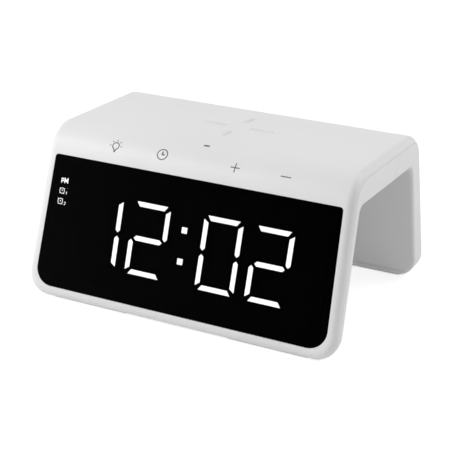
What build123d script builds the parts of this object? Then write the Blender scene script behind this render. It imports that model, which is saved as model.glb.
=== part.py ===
"""Wireless charging alarm clock: a bridge-shaped bedside clock, built from its separate pieces.

Millimetres and degrees. +X is to the right of someone who faces the display, the display looks along -Y,
+Z is up, and the origin is on the table under the middle of the clock.
"""
import os
from math import cos, radians, sin, sqrt, tan

from build123d import *

os.makedirs("parts", exist_ok=True)

# Outer body
OVERALL_DEPTH = 111.8
BASE_WIDTH = 160.0
TOP_HEIGHT = 77.0
FRONT_LEAN = 19.0
REAR_LEAN = 7.3
TOP_FALL = 2.5
SIDE_FLARE = 2.05
KEY_EDGE_RADIUS = 15.0
REAR_EDGE_RADIUS = 13.0
LEG_CORNER_RADIUS = 10.5
OUTER_EDGE_RADIUS = 3.8

# Arch between the legs
FRONT_LEG_THICKNESS = 7.4
FRONT_INNER_LEAN = 20.0
REAR_LEG_THICKNESS = 13.6
REAR_INNER_LEAN = 6.3
TOP_THICKNESS = 15.0
ARCH_CORNER_RADIUS = 4.5
ARCH_EDGE_RADIUS = 2.0

# Walls, seams and fits
SHELL_WALL = 2.4
COVER_WALL = 1.6
COVER_SIDE_WALL = 2.0
SEAM_DEPTH = 3.2
SEAM_RIM = 3.2
SEAM_GAP = 0.15
FIT = 0.15
LOOSE_FIT = 0.1

# Slanted split between the two inner covers, as a share of the flat top from its front
SPLIT_SHARE = 0.648
SPLIT_SLANT = 45.0

# Rubber feet
FOOT_PROUD = 0.6
FOOT_SEAT = 1.0
FOOT_LENGTH = 40.0
FRONT_FOOT_WIDTH = 1.5
REAR_FOOT_WIDTH = 6.0
FOOT_INSET = 34.0

# Display window
LENS_TOP_RIM = 2.45
LENS_THICKNESS = 1.5
LENS_SIDE_RIM = 4.8
LENS_BOTTOM_RIM = 6.35
LENS_CORNER_RADIUS = 8.5
LENS_TOP_RADIUS = 1.5
LENS_LEDGE = 2.4
DISPLAY_BOARD_OUTSET = 1.0
DISPLAY_BOARD_INSET = 0.5
DISPLAY_PIN_INSET = 0.7
DISPLAY_PIN_RISE = 11.6
DISPLAY_PIN_DROP = 8.6
DISPLAY_PIN_DIAMETER = 1.4
DISPLAY_PIN_PROUD = 0.5
DISPLAY_SEAT_DIAMETER = 2.8

# Seven-bar digits, between the middles of the bars, as shares of the lens's half width and of its height
DIGIT_WIDTH_SHARE = 0.2332
DIGIT_HEIGHT_SHARE = 0.505
INNER_DIGIT_SHARE = 0.2483
OUTER_DIGIT_SHARE = 0.5844
DISPLAY_SHIFT = -0.26
DISPLAY_DROP = 0.35
BAR_WIDTH = 2.15
BAR_GAP = 0.9
MIDDLE_GAP = 1.35
CORNER_GAP = 1.48
BAR_SLANT = 0.7
COLON_SIDE = 2.65
COLON_SHIFT = -0.75
COLON_RISE = 0.8
COLON_SPREAD = 14.3
ICON_INSET = 7.0
ICON_DROPS = (12.0, 16.8, 21.8)
ICON_WIDTH = 6.0
ICON_HEIGHT = 4.0
LENS_AIR = 0.1
DIFFUSER_DEPTH = 1.0
REFLECTOR_DEPTH = 2.6
BOARD_THICKNESS = 1.0
LED_LENGTH = 1.6
LED_WIDTH = 0.8
LED_HEIGHT = 0.5

# Charging place on the top
CHARGE_OFFSET = 1.0
RIB_WIDTH = 3.4
RIB_SEAT = 0.5
RIB_PROUD = 0.35
RIB_SLOPE = 68.0
RIB_LIP = 0.5
SIDE_RIB_LENGTH = 12.7
SIDE_RIB_INNER = 5.9
END_RIB_LENGTH = 8.9
END_RIB_INNER = 7.6
COIL_TURNS = 9
COIL_MARGIN = 1.2
COIL_HOLE_SHARE = 0.46
WIRE_SHARE = 0.64
FERRITE_WIDTH = 44.0
FERRITE_THICKNESS = 0.8
TRAY_SHARE = 0.85
TRAY_WALL = 1.2
TRAY_EAR_REACH = 8.0
TRAY_EAR_WIDTH = 12.0
TRAY_SKIN_GAP = 0.2

# Main board, buzzer and night light, depths below the top face
MAIN_BOARD_DEPTH = 8.6
MAIN_BOARD_THICKNESS = 1.2
MAIN_BOARD_SIDE = 27.0
MAIN_BOARD_INSET = 5.5
BUZZER_DIAMETER = 12.0
BUZZER_HEIGHT = 2.6
BUZZER_PLACE = -14.0
BUZZER_INSET = 8.3
BUZZER_PORT_DIAMETER = 2.0
SOUND_HOLE_DIAMETER = 1.2
SOUND_HOLE_RING = 3.2
CONTROLLER_SIDE = 9.0
CONTROLLER_PLACE = 22.0
CONTROLLER_HEIGHT = 1.2
INDUCTOR_SIDE = 8.0
INDUCTOR_PLACE = 8.0
INDUCTOR_HEIGHT = 2.6
DRIVER_SIDE = 6.0
DRIVER_PLACE = -25.5
DRIVER_HEIGHT = 1.0
LIGHT_INSET = 11.4
LIGHT_LENGTH = 60.0
LIGHT_WIDTH = 8.0
LIGHT_CORNER = 1.5
LIGHT_AIR = 0.2
LIGHT_BOARD_WIDTH = 9.0
LIGHT_FLANGE = 2.0
LIGHT_FLANGE_THICKNESS = 1.0
LIGHT_LEDS = 4
LIGHT_LED_SIDE = 2.4
LIGHT_LED_PITCH = 15.0
LIGHT_LED_HEIGHT = 0.6
LIGHT_RIB_WIDTH = 2.0

# Touch keys on the rounded edge; places along the edge's own tangent
KEY_LEVEL = -3.5
TOUCH_BOARD_WIDTH = 15.0
TOUCH_BOARD_END = 10.8
TOUCH_BOARD_DEPTH = 6.4
TOUCH_PAD_DIAMETER = 7.0
TOUCH_POST_LEVEL = 3.0
RIBBON_NOTCH = 18.0
RIBBON_NOTCH_DEPTH = 7.0
PIPE_SHIFT = 1.0
PIPE_LEVEL = 5.8
PIPE_LENGTH = 2.7
PIPE_WIDTH = 0.9
PIPE_COLLAR = 1.0
PIPE_COLLAR_THICKNESS = 0.8
CHARGE_LED_LENGTH = 2.0
CHARGE_LED_WIDTH = 1.2
CHARGE_LED_HEIGHT = 0.6

# Flat cables
RIBBON_WIDTH = 14.0
REAR_RIBBON_WIDTH = 8.0
RIBBON_THICKNESS = 0.3
RIBBON_BEND = 5.0
RIBBON_LAP = 6.0

# Power inlet in the rear leg, seen from behind
INLET_INSET = 46.0
INLET_LEVEL = 13.0
INLET_WIDTH = 8.94
INLET_HEIGHT = 3.26
INLET_LENGTH = 7.3
INLET_WALL = 0.3
INLET_BACK = 0.8
INLET_SINK = 0.4
TONGUE_WIDTH = 6.7
TONGUE_THICKNESS = 0.7
TONGUE_SINK = 1.0
INLET_BOARD_WIDTH = 18.0
INLET_BOARD_LENGTH = 8.0
INLET_RIBBON_DEPTH = 9.6
RAIL_WIDTH = 2.4
RAIL_LIP = 1.2
RAIL_GRIP = 1.0
RAIL_DEPTH = 9.0

# Back-up cell and its twist door, seen from behind
CELL_INSET = 46.0
CELL_LEVEL = 27.0
CELL_DIAMETER = 20.0
CELL_THICKNESS = 3.2
CELL_STEP = 0.5
CELL_CAP_DIAMETER = 16.8
CELL_PLAY = 0.3
DOOR_RADIUS = 13.2
DOOR_FLANGE = 1.1
DOOR_PLUG_RADIUS = 11.0
DOOR_LUG_RADIUS = 12.6
DOOR_LUG_WIDTH = 6.0
DOOR_LUG_THICKNESS = 1.0
DOOR_PLAY = 0.2
DOOR_LIFT = 0.1
DOOR_TURN = 45.0
DOOR_SLOT_LENGTH = 14.0
DOOR_SLOT_WIDTH = 1.8
DOOR_SLOT_DEPTH = 0.6
CUP_WALL = 2.4
CONTACT_HEIGHT = 1.0
CONTACT_THICKNESS = 0.3
CONTACT_WIDTH = 5.0
CONTACT_REACH = 5.0
CONTACT_FOOT = 2.5
CONTACT_BOARD_WIDTH = 46.0
CONTACT_BOARD_HEIGHT = 26.0
CONTACT_POST_REACH = 19.5

# Screws and their bosses
COVER_SCREW_INSET = 14.0
FRONT_SCREW_SHARES = (0.18, 0.79)
REAR_SCREW_INSET = 8.6
SCREW_DIAMETER = 2.0
SCREW_HEAD_DIAMETER = 4.2
SCREW_HEAD_HEIGHT = 1.4
SCREW_LENGTH = 6.0
SCREW_SINK = 2.0
SCREW_SLOT_WIDTH = 0.6
SCREW_SLOT_DEPTH = 0.6
COVER_BOSS_DIAMETER = 5.6
COVER_PAD_DIAMETER = 7.6
COVER_PAD_HEIGHT = 2.0
SMALL_SCREW_DIAMETER = 1.6
SMALL_HEAD_DIAMETER = 3.0
SMALL_HEAD_HEIGHT = 0.6
SMALL_SCREW_GRIP = 2.2
TRAY_SCREW_GRIP = 1.2
TOUCH_SCREW_GRIP = 1.6
POST_DIAMETER = 4.6
MAIN_POST_INSET = 5.0

tan_front = tan(radians(FRONT_LEAN))
cos_front = cos(radians(FRONT_LEAN))
sin_front = sin(radians(FRONT_LEAN))
tan_rear = tan(radians(REAR_LEAN))
cos_rear = cos(radians(REAR_LEAN))
sin_rear = sin(radians(REAR_LEAN))
tan_top = tan(radians(TOP_FALL))
cos_top = cos(radians(TOP_FALL))
sin_top = sin(radians(TOP_FALL))
tan_flare = tan(radians(SIDE_FLARE))

# The front and rear faces meet the leg bottoms on these lines; the rounded edges give the overall depth
front_line = -OVERALL_DEPTH / 2 - OUTER_EDGE_RADIUS * (tan_front + 1 / cos_front - 1)
rear_line = OVERALL_DEPTH / 2 + OUTER_EDGE_RADIUS * (tan_rear + 1 / cos_rear - 1)


def outer_corners(depth, base, top_depth=None):
    """Corners (y, z) of the outer faces moved inwards: front foot, key edge, rear edge, rear foot."""
    top_depth = depth if top_depth is None else top_depth
    front = front_line - FOOT_PROUD * tan_front + depth / cos_front
    rear = rear_line + FOOT_PROUD * tan_rear - depth / cos_rear
    top = TOP_HEIGHT - top_depth / cos_top
    key_z = (top - tan_top * front) / (1 + tan_top * tan_front)
    rear_z = (top - tan_top * rear) / (1 - tan_top * tan_rear)
    return [
        (front + base * tan_front, base),
        (front + key_z * tan_front, key_z),
        (rear - rear_z * tan_rear, rear_z),
        (rear - base * tan_rear, base),
    ]


def arch_corners(depth, base):
    """Corners (y, z) of the arch faces, moved into the material, from the rear foot to the front foot."""
    tan_in_front = tan(radians(FRONT_INNER_LEAN))
    tan_in_rear = tan(radians(REAR_INNER_LEAN))
    front = front_line + FRONT_LEG_THICKNESS / cos_front - depth / cos(radians(FRONT_INNER_LEAN))
    rear = rear_line - REAR_LEG_THICKNESS / cos_rear + depth / cos(radians(REAR_INNER_LEAN))
    front -= FOOT_PROUD * tan_in_front
    rear += FOOT_PROUD * tan_in_rear
    under = TOP_HEIGHT - (TOP_THICKNESS - depth) / cos_top
    front_z = (under - tan_top * front) / (1 + tan_top * tan_in_front)
    rear_z = (under - tan_top * rear) / (1 - tan_top * tan_in_rear)
    return [
        (rear - base * tan_in_rear, base),
        (rear - rear_z * tan_in_rear, rear_z),
        (front + front_z * tan_in_front, front_z),
        (front + base * tan_in_front, base),
    ]


def half_width(height):
    """Half of the body's width at a height above the table."""
    return BASE_WIDTH / 2 - (height - FOOT_PROUD) * tan_flare


def front_outline(inset, low):
    """Corners (x, z) of the body from the front, its sides moved inwards, from a low level up."""
    high = TOP_HEIGHT + KEY_EDGE_RADIUS
    return [
        (-half_width(low) + inset, low),
        (half_width(low) - inset, low),
        (half_width(high) - inset, high),
        (-half_width(high) + inset, high),
    ]


def lens_outline(inset, end_inset=None):
    """Corners (x, up the slope) of the display window moved inwards, its ends by their own inset."""
    end_inset = inset if end_inset is None else end_inset
    low = LENS_BOTTOM_RIM + end_inset
    high = lens_top - end_inset
    low_half = half_width(FOOT_PROUD + low * cos_front) - LENS_SIDE_RIM - inset
    high_half = half_width(FOOT_PROUD + high * cos_front) - LENS_SIDE_RIM - inset
    return [(-low_half, low), (low_half, low), (high_half, high), (-high_half, high)]


def lens_radii(inset):
    """Corner radii of the display window moved inwards by an inset."""
    low = LENS_CORNER_RADIUS - inset
    high = max(LENS_TOP_RADIUS - inset, 0)
    return [low, low, high, high]


# Working planes: z points out of the clock; y points up the slope, or to the rear on the top
front_plane = Plane(origin=(0, front_line, FOOT_PROUD), x_dir=(1, 0, 0), z_dir=(0, -cos_front, sin_front))
rear_plane = Plane(origin=(0, rear_line, FOOT_PROUD), x_dir=(-1, 0, 0), z_dir=(0, cos_rear, sin_rear))
top_plane = Plane(origin=(0, 0, TOP_HEIGHT), x_dir=(1, 0, 0), z_dir=(0, sin_top, cos_top))

# The rounded key edge: its axis lies one radius inside the front and the top
key_axis_y, key_axis_z = outer_corners(KEY_EDGE_RADIUS, 0)[1]
key_slope = radians((90 + FRONT_LEAN + TOP_FALL) / 2)
key_plane = Plane(
    origin=(0, key_axis_y, key_axis_z), x_dir=(1, 0, 0), z_dir=(0, -cos(key_slope), sin(key_slope))
)

# The flat stretches of the front and of the top end where the rounded edges begin
rear_axis_y, rear_axis_z = outer_corners(REAR_EDGE_RADIUS, 0)[2]
slope_end = front_plane.to_local_coords(Vector(0, key_axis_y, key_axis_z)).Y
flat_front = top_plane.to_local_coords(Vector(0, key_axis_y, key_axis_z)).Y
flat_rear = top_plane.to_local_coords(Vector(0, rear_axis_y, rear_axis_z)).Y
flat_length = flat_rear - flat_front
split_place = flat_front + SPLIT_SHARE * flat_length
split_low = split_place - (TOP_THICKNESS - SEAM_DEPTH) / 2 / tan(radians(SPLIT_SLANT))


def rim_edges(edges):
    """The side loops of a form that runs along X, together with its lowest straight edges."""
    feet = edges.filter_by(Axis.X).group_by(Axis.Z)[0]
    return edges.filter_by(Axis.X, reverse=True).filter_by(Axis.Y, reverse=True) + feet


def mirrored(places):
    """Each (x, y) place together with its mirror image at -x."""
    return [(side * x, y) for x, y in places for side in (1, -1)]


# Outer form of the whole body, the shell and the two inner covers together
with BuildPart() as body_form:
    with BuildSketch(Plane.YZ):
        with BuildLine():
            FilletPolyline(
                *outer_corners(0, FOOT_PROUD), radius=[0, KEY_EDGE_RADIUS, REAR_EDGE_RADIUS, 0], close=True
            )
        make_face()
    extrude(amount=BASE_WIDTH, both=True)
    with BuildSketch(Plane.XZ):
        with BuildLine():
            FilletPolyline(
                *front_outline(0, FOOT_PROUD),
                radius=[LEG_CORNER_RADIUS, LEG_CORNER_RADIUS, 0, 0],
                close=True,
            )
        make_face()
    extrude(amount=OVERALL_DEPTH, both=True, mode=Mode.INTERSECT)
    fillet(rim_edges(body_form.edges()), OUTER_EDGE_RADIUS)
    with BuildSketch(Plane.YZ):
        with BuildLine():
            FilletPolyline(
                *arch_corners(0, 0), radius=[0, ARCH_CORNER_RADIUS, ARCH_CORNER_RADIUS, 0], close=True
            )
        make_face()
    extrude(amount=BASE_WIDTH, both=True, mode=Mode.SUBTRACT)
    fillet(rim_edges(body_form.edges(Select.NEW)), ARCH_EDGE_RADIUS)

# Room behind the seam, right across the body
with BuildPart() as seam_core:
    with BuildSketch(Plane.YZ):
        with BuildLine():
            FilletPolyline(
                *outer_corners(SEAM_DEPTH, FOOT_PROUD + SEAM_DEPTH),
                radius=[0, KEY_EDGE_RADIUS - SEAM_DEPTH, REAR_EDGE_RADIUS - SEAM_DEPTH, 0],
                close=True,
            )
        make_face()
    extrude(amount=BASE_WIDTH, both=True)

# Room behind the skin of the shell, inside the seam rim
with BuildPart() as shell_room:
    with BuildSketch(Plane.YZ):
        with BuildLine():
            FilletPolyline(
                *outer_corners(SHELL_WALL, FOOT_PROUD + SEAM_DEPTH),
                radius=[0, KEY_EDGE_RADIUS - SHELL_WALL, REAR_EDGE_RADIUS - SHELL_WALL, 0],
                close=True,
            )
        make_face()
    extrude(amount=BASE_WIDTH, both=True)
    with BuildSketch(Plane.XZ):
        with BuildLine():
            FilletPolyline(
                *front_outline(SEAM_RIM, FOOT_PROUD + SEAM_RIM),
                radius=[LEG_CORNER_RADIUS - SEAM_RIM, LEG_CORNER_RADIUS - SEAM_RIM, 0, 0],
                close=True,
            )
        make_face()
    extrude(amount=OVERALL_DEPTH, both=True, mode=Mode.INTERSECT)

# Places shared by several pieces
lens_top = slope_end - LENS_TOP_RIM
lens_height = lens_top - LENS_BOTTOM_RIM
digit_level = LENS_BOTTOM_RIM + lens_height / 2 - DISPLAY_DROP
display_half = half_width(FOOT_PROUD + digit_level * cos_front) - LENS_SIDE_RIM
digit_width = DIGIT_WIDTH_SHARE * display_half
digit_height = DIGIT_HEIGHT_SHARE * lens_height
key_shares = (-OUTER_DIGIT_SHARE, -INNER_DIGIT_SHARE, INNER_DIGIT_SHARE, OUTER_DIGIT_SHARE)
key_places = [share * display_half for share in key_shares]
wells_front = LENS_THICKNESS + LENS_AIR
reflector_back = wells_front + REFLECTOR_DEPTH
display_back = reflector_back + BOARD_THICKNESS
display_pins = mirrored(
    (half_width(FOOT_PROUD + level * cos_front) - LENS_SIDE_RIM - DISPLAY_PIN_INSET, level)
    for level in (LENS_BOTTOM_RIM + DISPLAY_PIN_RISE, lens_top - DISPLAY_PIN_DROP)
)
charge_place = (flat_front + flat_rear) / 2 + CHARGE_OFFSET
tray_length = TRAY_SHARE * flat_length
ferrite_length = tray_length - 2 * TRAY_WALL - 2 * FIT
tray_width = FERRITE_WIDTH + 2 * TRAY_WALL + 2 * FIT
coil_outer = min(FERRITE_WIDTH, ferrite_length) / 2 - COIL_MARGIN
coil_inner = COIL_HOLE_SHARE * coil_outer
coil_pitch = (coil_outer - coil_inner) / COIL_TURNS
wire_diameter = WIRE_SHARE * coil_pitch
coil_top = SHELL_WALL + LOOSE_FIT
ferrite_top = coil_top + wire_diameter + LOOSE_FIT / 2
tray_top = ferrite_top + FERRITE_THICKNESS
tray_back = tray_top + TRAY_WALL
tray_posts = mirrored([(tray_width / 2 + TRAY_EAR_REACH / 2, charge_place)])
main_back = MAIN_BOARD_DEPTH + MAIN_BOARD_THICKNESS
main_board_half = half_width(TOP_HEIGHT) - MAIN_BOARD_SIDE
main_board_front = flat_front + MAIN_BOARD_INSET
main_board_rear = flat_rear - MAIN_BOARD_INSET
main_posts = mirrored(
    (main_board_half - MAIN_POST_INSET, level)
    for level in (main_board_front + MAIN_POST_INSET, main_board_rear - MAIN_POST_INSET)
)
light_place = flat_front + LIGHT_INSET
chip_level = (light_place + LIGHT_BOARD_WIDTH / 2 + main_board_rear) / 2
buzzer_level = main_board_rear - BUZZER_INSET
cover_inner = TOP_THICKNESS - COVER_WALL
pad_top = cover_inner - COVER_PAD_HEIGHT
cover_screw_reach = half_width(TOP_HEIGHT) - COVER_SCREW_INSET
front_screws = mirrored(
    (cover_screw_reach, flat_front + share * (split_low - flat_front)) for share in FRONT_SCREW_SHARES
)
rear_screws = mirrored([(cover_screw_reach, flat_rear - REAR_SCREW_INSET)])
head_seat = TOP_THICKNESS - SCREW_SINK
touch_face = KEY_EDGE_RADIUS - TOUCH_BOARD_DEPTH
touch_back = touch_face - BOARD_THICKNESS
touch_board_half = key_places[-1] + TOUCH_BOARD_END
touch_posts = mirrored([(touch_board_half - POST_DIAMETER, TOUCH_POST_LEVEL)])
inlet_place = INLET_INSET - half_width(FOOT_PROUD)
inlet_top = INLET_LEVEL - INLET_HEIGHT / 2
cell_place = half_width(FOOT_PROUD) - CELL_INSET
lip_front = DOOR_FLANGE + DOOR_LIFT
lug_front = SHELL_WALL + DOOR_PLAY
lug_back = lug_front + DOOR_LUG_THICKNESS
cell_front = lug_back + DOOR_PLAY
cell_back = cell_front + CELL_THICKNESS
contact_front = cell_back + CONTACT_HEIGHT
contact_back = contact_front + BOARD_THICKNESS
contact_posts = [(cell_place + side * CONTACT_POST_REACH, CELL_LEVEL) for side in (1, -1)]
# The front feet end where the rounded edge of the arch begins; the rear feet are in the middle of the flat
front_foot_place = front_line + (
    FRONT_LEG_THICKNESS / cos_front
    - ARCH_EDGE_RADIUS / tan(radians((90 + FRONT_INNER_LEAN) / 2))
    - FRONT_FOOT_WIDTH / 2
)
rear_foot_place = rear_line - (
    REAR_LEG_THICKNESS / cos_rear
    + OUTER_EDGE_RADIUS / tan(radians((90 - REAR_LEAN) / 2))
    - ARCH_EDGE_RADIUS / tan(radians((90 + REAR_INNER_LEAN) / 2))
) / 2
foot_reach = half_width(0) - FOOT_INSET
side_rib_reach = SIDE_RIB_INNER + SIDE_RIB_LENGTH / 2
end_rib_reach = END_RIB_INNER + END_RIB_LENGTH / 2
rib_seat_trim = 2 * (RIB_LIP - LOOSE_FIT)
light_board_length = LIGHT_LENGTH + 2 * LIGHT_FLANGE + 2 * FIT + 2 * LIGHT_RIB_WIDTH
light_board_top = cover_inner - LIGHT_FLANGE_THICKNESS - LIGHT_LED_HEIGHT - LIGHT_AIR - BOARD_THICKNESS
light_board_back = light_board_top + BOARD_THICKNESS

# Outer shell: front frame, key edge, top, rear edge and rear face in one moulding
with BuildPart() as outer_shell:
    add(body_form.part)
    add(seam_core.part, mode=Mode.SUBTRACT)
    add(shell_room.part, mode=Mode.SUBTRACT)
    # Lens recess and the window behind it
    with BuildSketch(front_plane):
        with BuildLine():
            FilletPolyline(*lens_outline(-FIT), radius=lens_radii(-FIT), close=True)
        make_face()
    extrude(amount=-LENS_THICKNESS, mode=Mode.SUBTRACT)
    with BuildSketch(front_plane):
        with BuildLine():
            FilletPolyline(*lens_outline(LENS_LEDGE), radius=lens_radii(LENS_LEDGE), close=True)
        make_face()
    extrude(amount=-SEAM_DEPTH, mode=Mode.SUBTRACT)
    # Seats and staked pins for the display board
    with BuildSketch(front_plane.offset(-SHELL_WALL / 2 - LENS_THICKNESS / 2)):
        with Locations(*display_pins):
            Circle(DISPLAY_SEAT_DIAMETER / 2)
    extrude(amount=SHELL_WALL / 2 + LENS_THICKNESS / 2 - reflector_back)
    with BuildSketch(front_plane.offset(-reflector_back)):
        with Locations(*display_pins):
            Circle(DISPLAY_PIN_DIAMETER / 2)
    extrude(amount=-BOARD_THICKNESS - DISPLAY_PIN_PROUD)
    # Seats for the grip ribs on the top
    with BuildSketch(top_plane):
        with Locations((side_rib_reach, charge_place), (-side_rib_reach, charge_place)):
            SlotOverall(SIDE_RIB_LENGTH - rib_seat_trim, RIB_WIDTH - rib_seat_trim)
        with Locations((0, charge_place + end_rib_reach), (0, charge_place - end_rib_reach)):
            SlotOverall(END_RIB_LENGTH - rib_seat_trim, RIB_WIDTH - rib_seat_trim, rotation=90)
    extrude(amount=-RIB_SEAT, mode=Mode.SUBTRACT)
    # Posts under the top: coil tray, main board and the cover screws
    with BuildSketch(top_plane.offset(-SHELL_WALL / 2)):
        with Locations(*tray_posts):
            Circle(POST_DIAMETER / 2)
    extrude(amount=SHELL_WALL / 2 - tray_top)
    with BuildSketch(top_plane.offset(-SHELL_WALL / 2)):
        with Locations(*main_posts):
            Circle(POST_DIAMETER / 2)
    extrude(amount=SHELL_WALL / 2 - MAIN_BOARD_DEPTH)
    with BuildSketch(top_plane.offset(-SHELL_WALL / 2)):
        with Locations(*front_screws, *rear_screws):
            Circle(COVER_BOSS_DIAMETER / 2)
    extrude(amount=SHELL_WALL / 2 - pad_top)
    with BuildSketch(top_plane.offset(-tray_top)):
        with Locations(*tray_posts):
            Circle((SMALL_SCREW_DIAMETER + LOOSE_FIT) / 2)
    extrude(amount=TRAY_SCREW_GRIP + LOOSE_FIT, mode=Mode.SUBTRACT)
    with BuildSketch(top_plane.offset(-MAIN_BOARD_DEPTH)):
        with Locations(*main_posts):
            Circle((SMALL_SCREW_DIAMETER + LOOSE_FIT) / 2)
    extrude(amount=SMALL_SCREW_GRIP + LOOSE_FIT, mode=Mode.SUBTRACT)
    with BuildSketch(top_plane.offset(-pad_top)):
        with Locations(*front_screws, *rear_screws):
            Circle((SCREW_DIAMETER + LOOSE_FIT) / 2)
    extrude(amount=SCREW_LENGTH - head_seat + pad_top + LOOSE_FIT, mode=Mode.SUBTRACT)
    # Posts for the touch board and the slot of the light pipe, on the rounded edge
    with BuildSketch(key_plane.offset(touch_face)):
        with Locations(*touch_posts):
            Circle(POST_DIAMETER / 2)
    extrude(amount=TOUCH_BOARD_DEPTH - SHELL_WALL)
    with BuildSketch(key_plane.offset(touch_face)):
        with Locations(*touch_posts):
            Circle((SMALL_SCREW_DIAMETER + LOOSE_FIT) / 2)
    extrude(amount=TOUCH_SCREW_GRIP + LOOSE_FIT, mode=Mode.SUBTRACT)
    with BuildSketch(key_plane.offset(touch_face)):
        with Locations((PIPE_SHIFT, PIPE_LEVEL)):
            Rectangle(PIPE_LENGTH + 2 * LOOSE_FIT, PIPE_WIDTH + 2 * LOOSE_FIT)
    extrude(amount=TOUCH_BOARD_DEPTH, mode=Mode.SUBTRACT)
    # Power inlet: hole in the rear face and two card rails behind it
    with BuildSketch(rear_plane.offset(-SHELL_WALL / 2)):
        with Locations((inlet_place, inlet_top - BOARD_THICKNESS / 2)):
            with GridLocations(INLET_BOARD_WIDTH + 2 * FIT + RAIL_WIDTH - 2 * RAIL_GRIP, 0, 2, 1):
                Rectangle(RAIL_WIDTH, BOARD_THICKNESS + 2 * RAIL_LIP)
    extrude(amount=SHELL_WALL / 2 - RAIL_DEPTH)
    with BuildSketch(rear_plane.offset(-SHELL_WALL)):
        with Locations((inlet_place, inlet_top - BOARD_THICKNESS / 2)):
            Rectangle(INLET_BOARD_WIDTH + 2 * FIT, BOARD_THICKNESS + 2 * LOOSE_FIT)
    extrude(amount=SHELL_WALL - RAIL_DEPTH, mode=Mode.SUBTRACT)
    with BuildSketch(rear_plane):
        with Locations((inlet_place, INLET_LEVEL)):
            SlotOverall(INLET_WIDTH + 2 * FIT, INLET_HEIGHT + 2 * FIT)
    extrude(amount=-SEAM_DEPTH, mode=Mode.SUBTRACT)
    # Cell cup behind the rear face, its door recess, lip, lug room and bore
    with BuildSketch(rear_plane.offset(-(lip_front + SHELL_WALL) / 2)):
        with Locations((cell_place, CELL_LEVEL)):
            Circle(DOOR_LUG_RADIUS + DOOR_PLAY + CUP_WALL)
    extrude(amount=(lip_front + SHELL_WALL) / 2 - contact_front)
    with BuildSketch(rear_plane):
        with Locations((cell_place, CELL_LEVEL)):
            Circle(DOOR_RADIUS + DOOR_PLAY)
    extrude(amount=-lip_front, mode=Mode.SUBTRACT)
    with BuildSketch(rear_plane.offset(-lip_front)):
        with Locations((cell_place, CELL_LEVEL)):
            Circle(DOOR_LUG_RADIUS + DOOR_PLAY)
            Rectangle(
                4 * DOOR_LUG_RADIUS, DOOR_LUG_WIDTH + 4 * DOOR_PLAY, rotation=DOOR_TURN, mode=Mode.INTERSECT
            )
            Circle(DOOR_PLUG_RADIUS + DOOR_PLAY)
    extrude(amount=lip_front - SHELL_WALL, mode=Mode.SUBTRACT)
    with BuildSketch(rear_plane.offset(-SHELL_WALL)):
        with Locations((cell_place, CELL_LEVEL)):
            Circle(DOOR_LUG_RADIUS + DOOR_PLAY)
    extrude(amount=SHELL_WALL - cell_front, mode=Mode.SUBTRACT)
    with BuildSketch(rear_plane.offset(-cell_front)):
        with Locations((cell_place, CELL_LEVEL)):
            Circle(CELL_DIAMETER / 2 + CELL_PLAY)
    extrude(amount=cell_front - contact_front, mode=Mode.SUBTRACT)
    with BuildSketch(rear_plane.offset(-SHELL_WALL / 2)):
        with Locations(*contact_posts):
            Circle(POST_DIAMETER / 2)
    extrude(amount=SHELL_WALL / 2 - contact_front)
    with BuildSketch(rear_plane.offset(-contact_front)):
        with Locations(*contact_posts):
            Circle((SMALL_SCREW_DIAMETER + LOOSE_FIT) / 2)
    extrude(amount=SMALL_SCREW_GRIP + LOOSE_FIT, mode=Mode.SUBTRACT)
    # Grooves for the feet
    with BuildSketch(Plane.XY.offset(FOOT_PROUD)):
        with Locations(*mirrored([(foot_reach, front_foot_place)])):
            SlotOverall(FOOT_LENGTH + 2 * LOOSE_FIT, FRONT_FOOT_WIDTH + 2 * LOOSE_FIT)
        with Locations(*mirrored([(foot_reach, rear_foot_place)])):
            SlotOverall(FOOT_LENGTH + 2 * LOOSE_FIT, REAR_FOOT_WIDTH + 2 * LOOSE_FIT)
    extrude(amount=FOOT_SEAT, mode=Mode.SUBTRACT)


def split_side(side):
    """Corners (y, z) of the room on one side of the slanted split: -1 in front of it, 1 behind it."""
    low = TOP_HEIGHT - 1.5 * TOP_THICKNESS
    high = TOP_HEIGHT + KEY_EDGE_RADIUS
    middle = TOP_HEIGHT - (SEAM_DEPTH + TOP_THICKNESS) / 2
    slant = tan(radians(SPLIT_SLANT))
    gap = side * SEAM_GAP / 2 / sin(radians(SPLIT_SLANT))
    far = side * OVERALL_DEPTH
    low_place = split_place + gap + (low - middle) / slant
    high_place = split_place + gap + (high - middle) / slant
    return [(gap, 0), (low_place, low), (high_place, high), (far, high), (far, 0)]


# The two inner covers before they are split
with BuildPart() as cover_room:
    with BuildSketch(Plane.YZ):
        with BuildLine():
            FilletPolyline(
                *outer_corners(0, 0),
                *arch_corners(COVER_WALL, 0),
                radius=[0, 0, 0, 0, 0, ARCH_CORNER_RADIUS + COVER_WALL, ARCH_CORNER_RADIUS + COVER_WALL, 0],
                close=True,
            )
        make_face()
    extrude(amount=BASE_WIDTH, both=True)
    with BuildSketch(Plane.XZ):
        with BuildLine():
            FilletPolyline(
                *front_outline(COVER_SIDE_WALL, FOOT_PROUD + COVER_SIDE_WALL),
                radius=[LEG_CORNER_RADIUS - COVER_SIDE_WALL, LEG_CORNER_RADIUS - COVER_SIDE_WALL, 0, 0],
                close=True,
            )
        make_face()
    extrude(amount=OVERALL_DEPTH, both=True, mode=Mode.INTERSECT)

with BuildPart() as cover_form:
    with BuildSketch(Plane.YZ):
        with BuildLine():
            FilletPolyline(
                *outer_corners(SEAM_DEPTH + SEAM_GAP, FOOT_PROUD + SEAM_DEPTH + SEAM_GAP),
                radius=[
                    0,
                    KEY_EDGE_RADIUS - SEAM_DEPTH - SEAM_GAP,
                    REAR_EDGE_RADIUS - SEAM_DEPTH - SEAM_GAP,
                    0,
                ],
                close=True,
            )
        make_face()
    extrude(amount=BASE_WIDTH, both=True)
    add(body_form.part, mode=Mode.INTERSECT)
    add(cover_room.part, mode=Mode.SUBTRACT)

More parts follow.
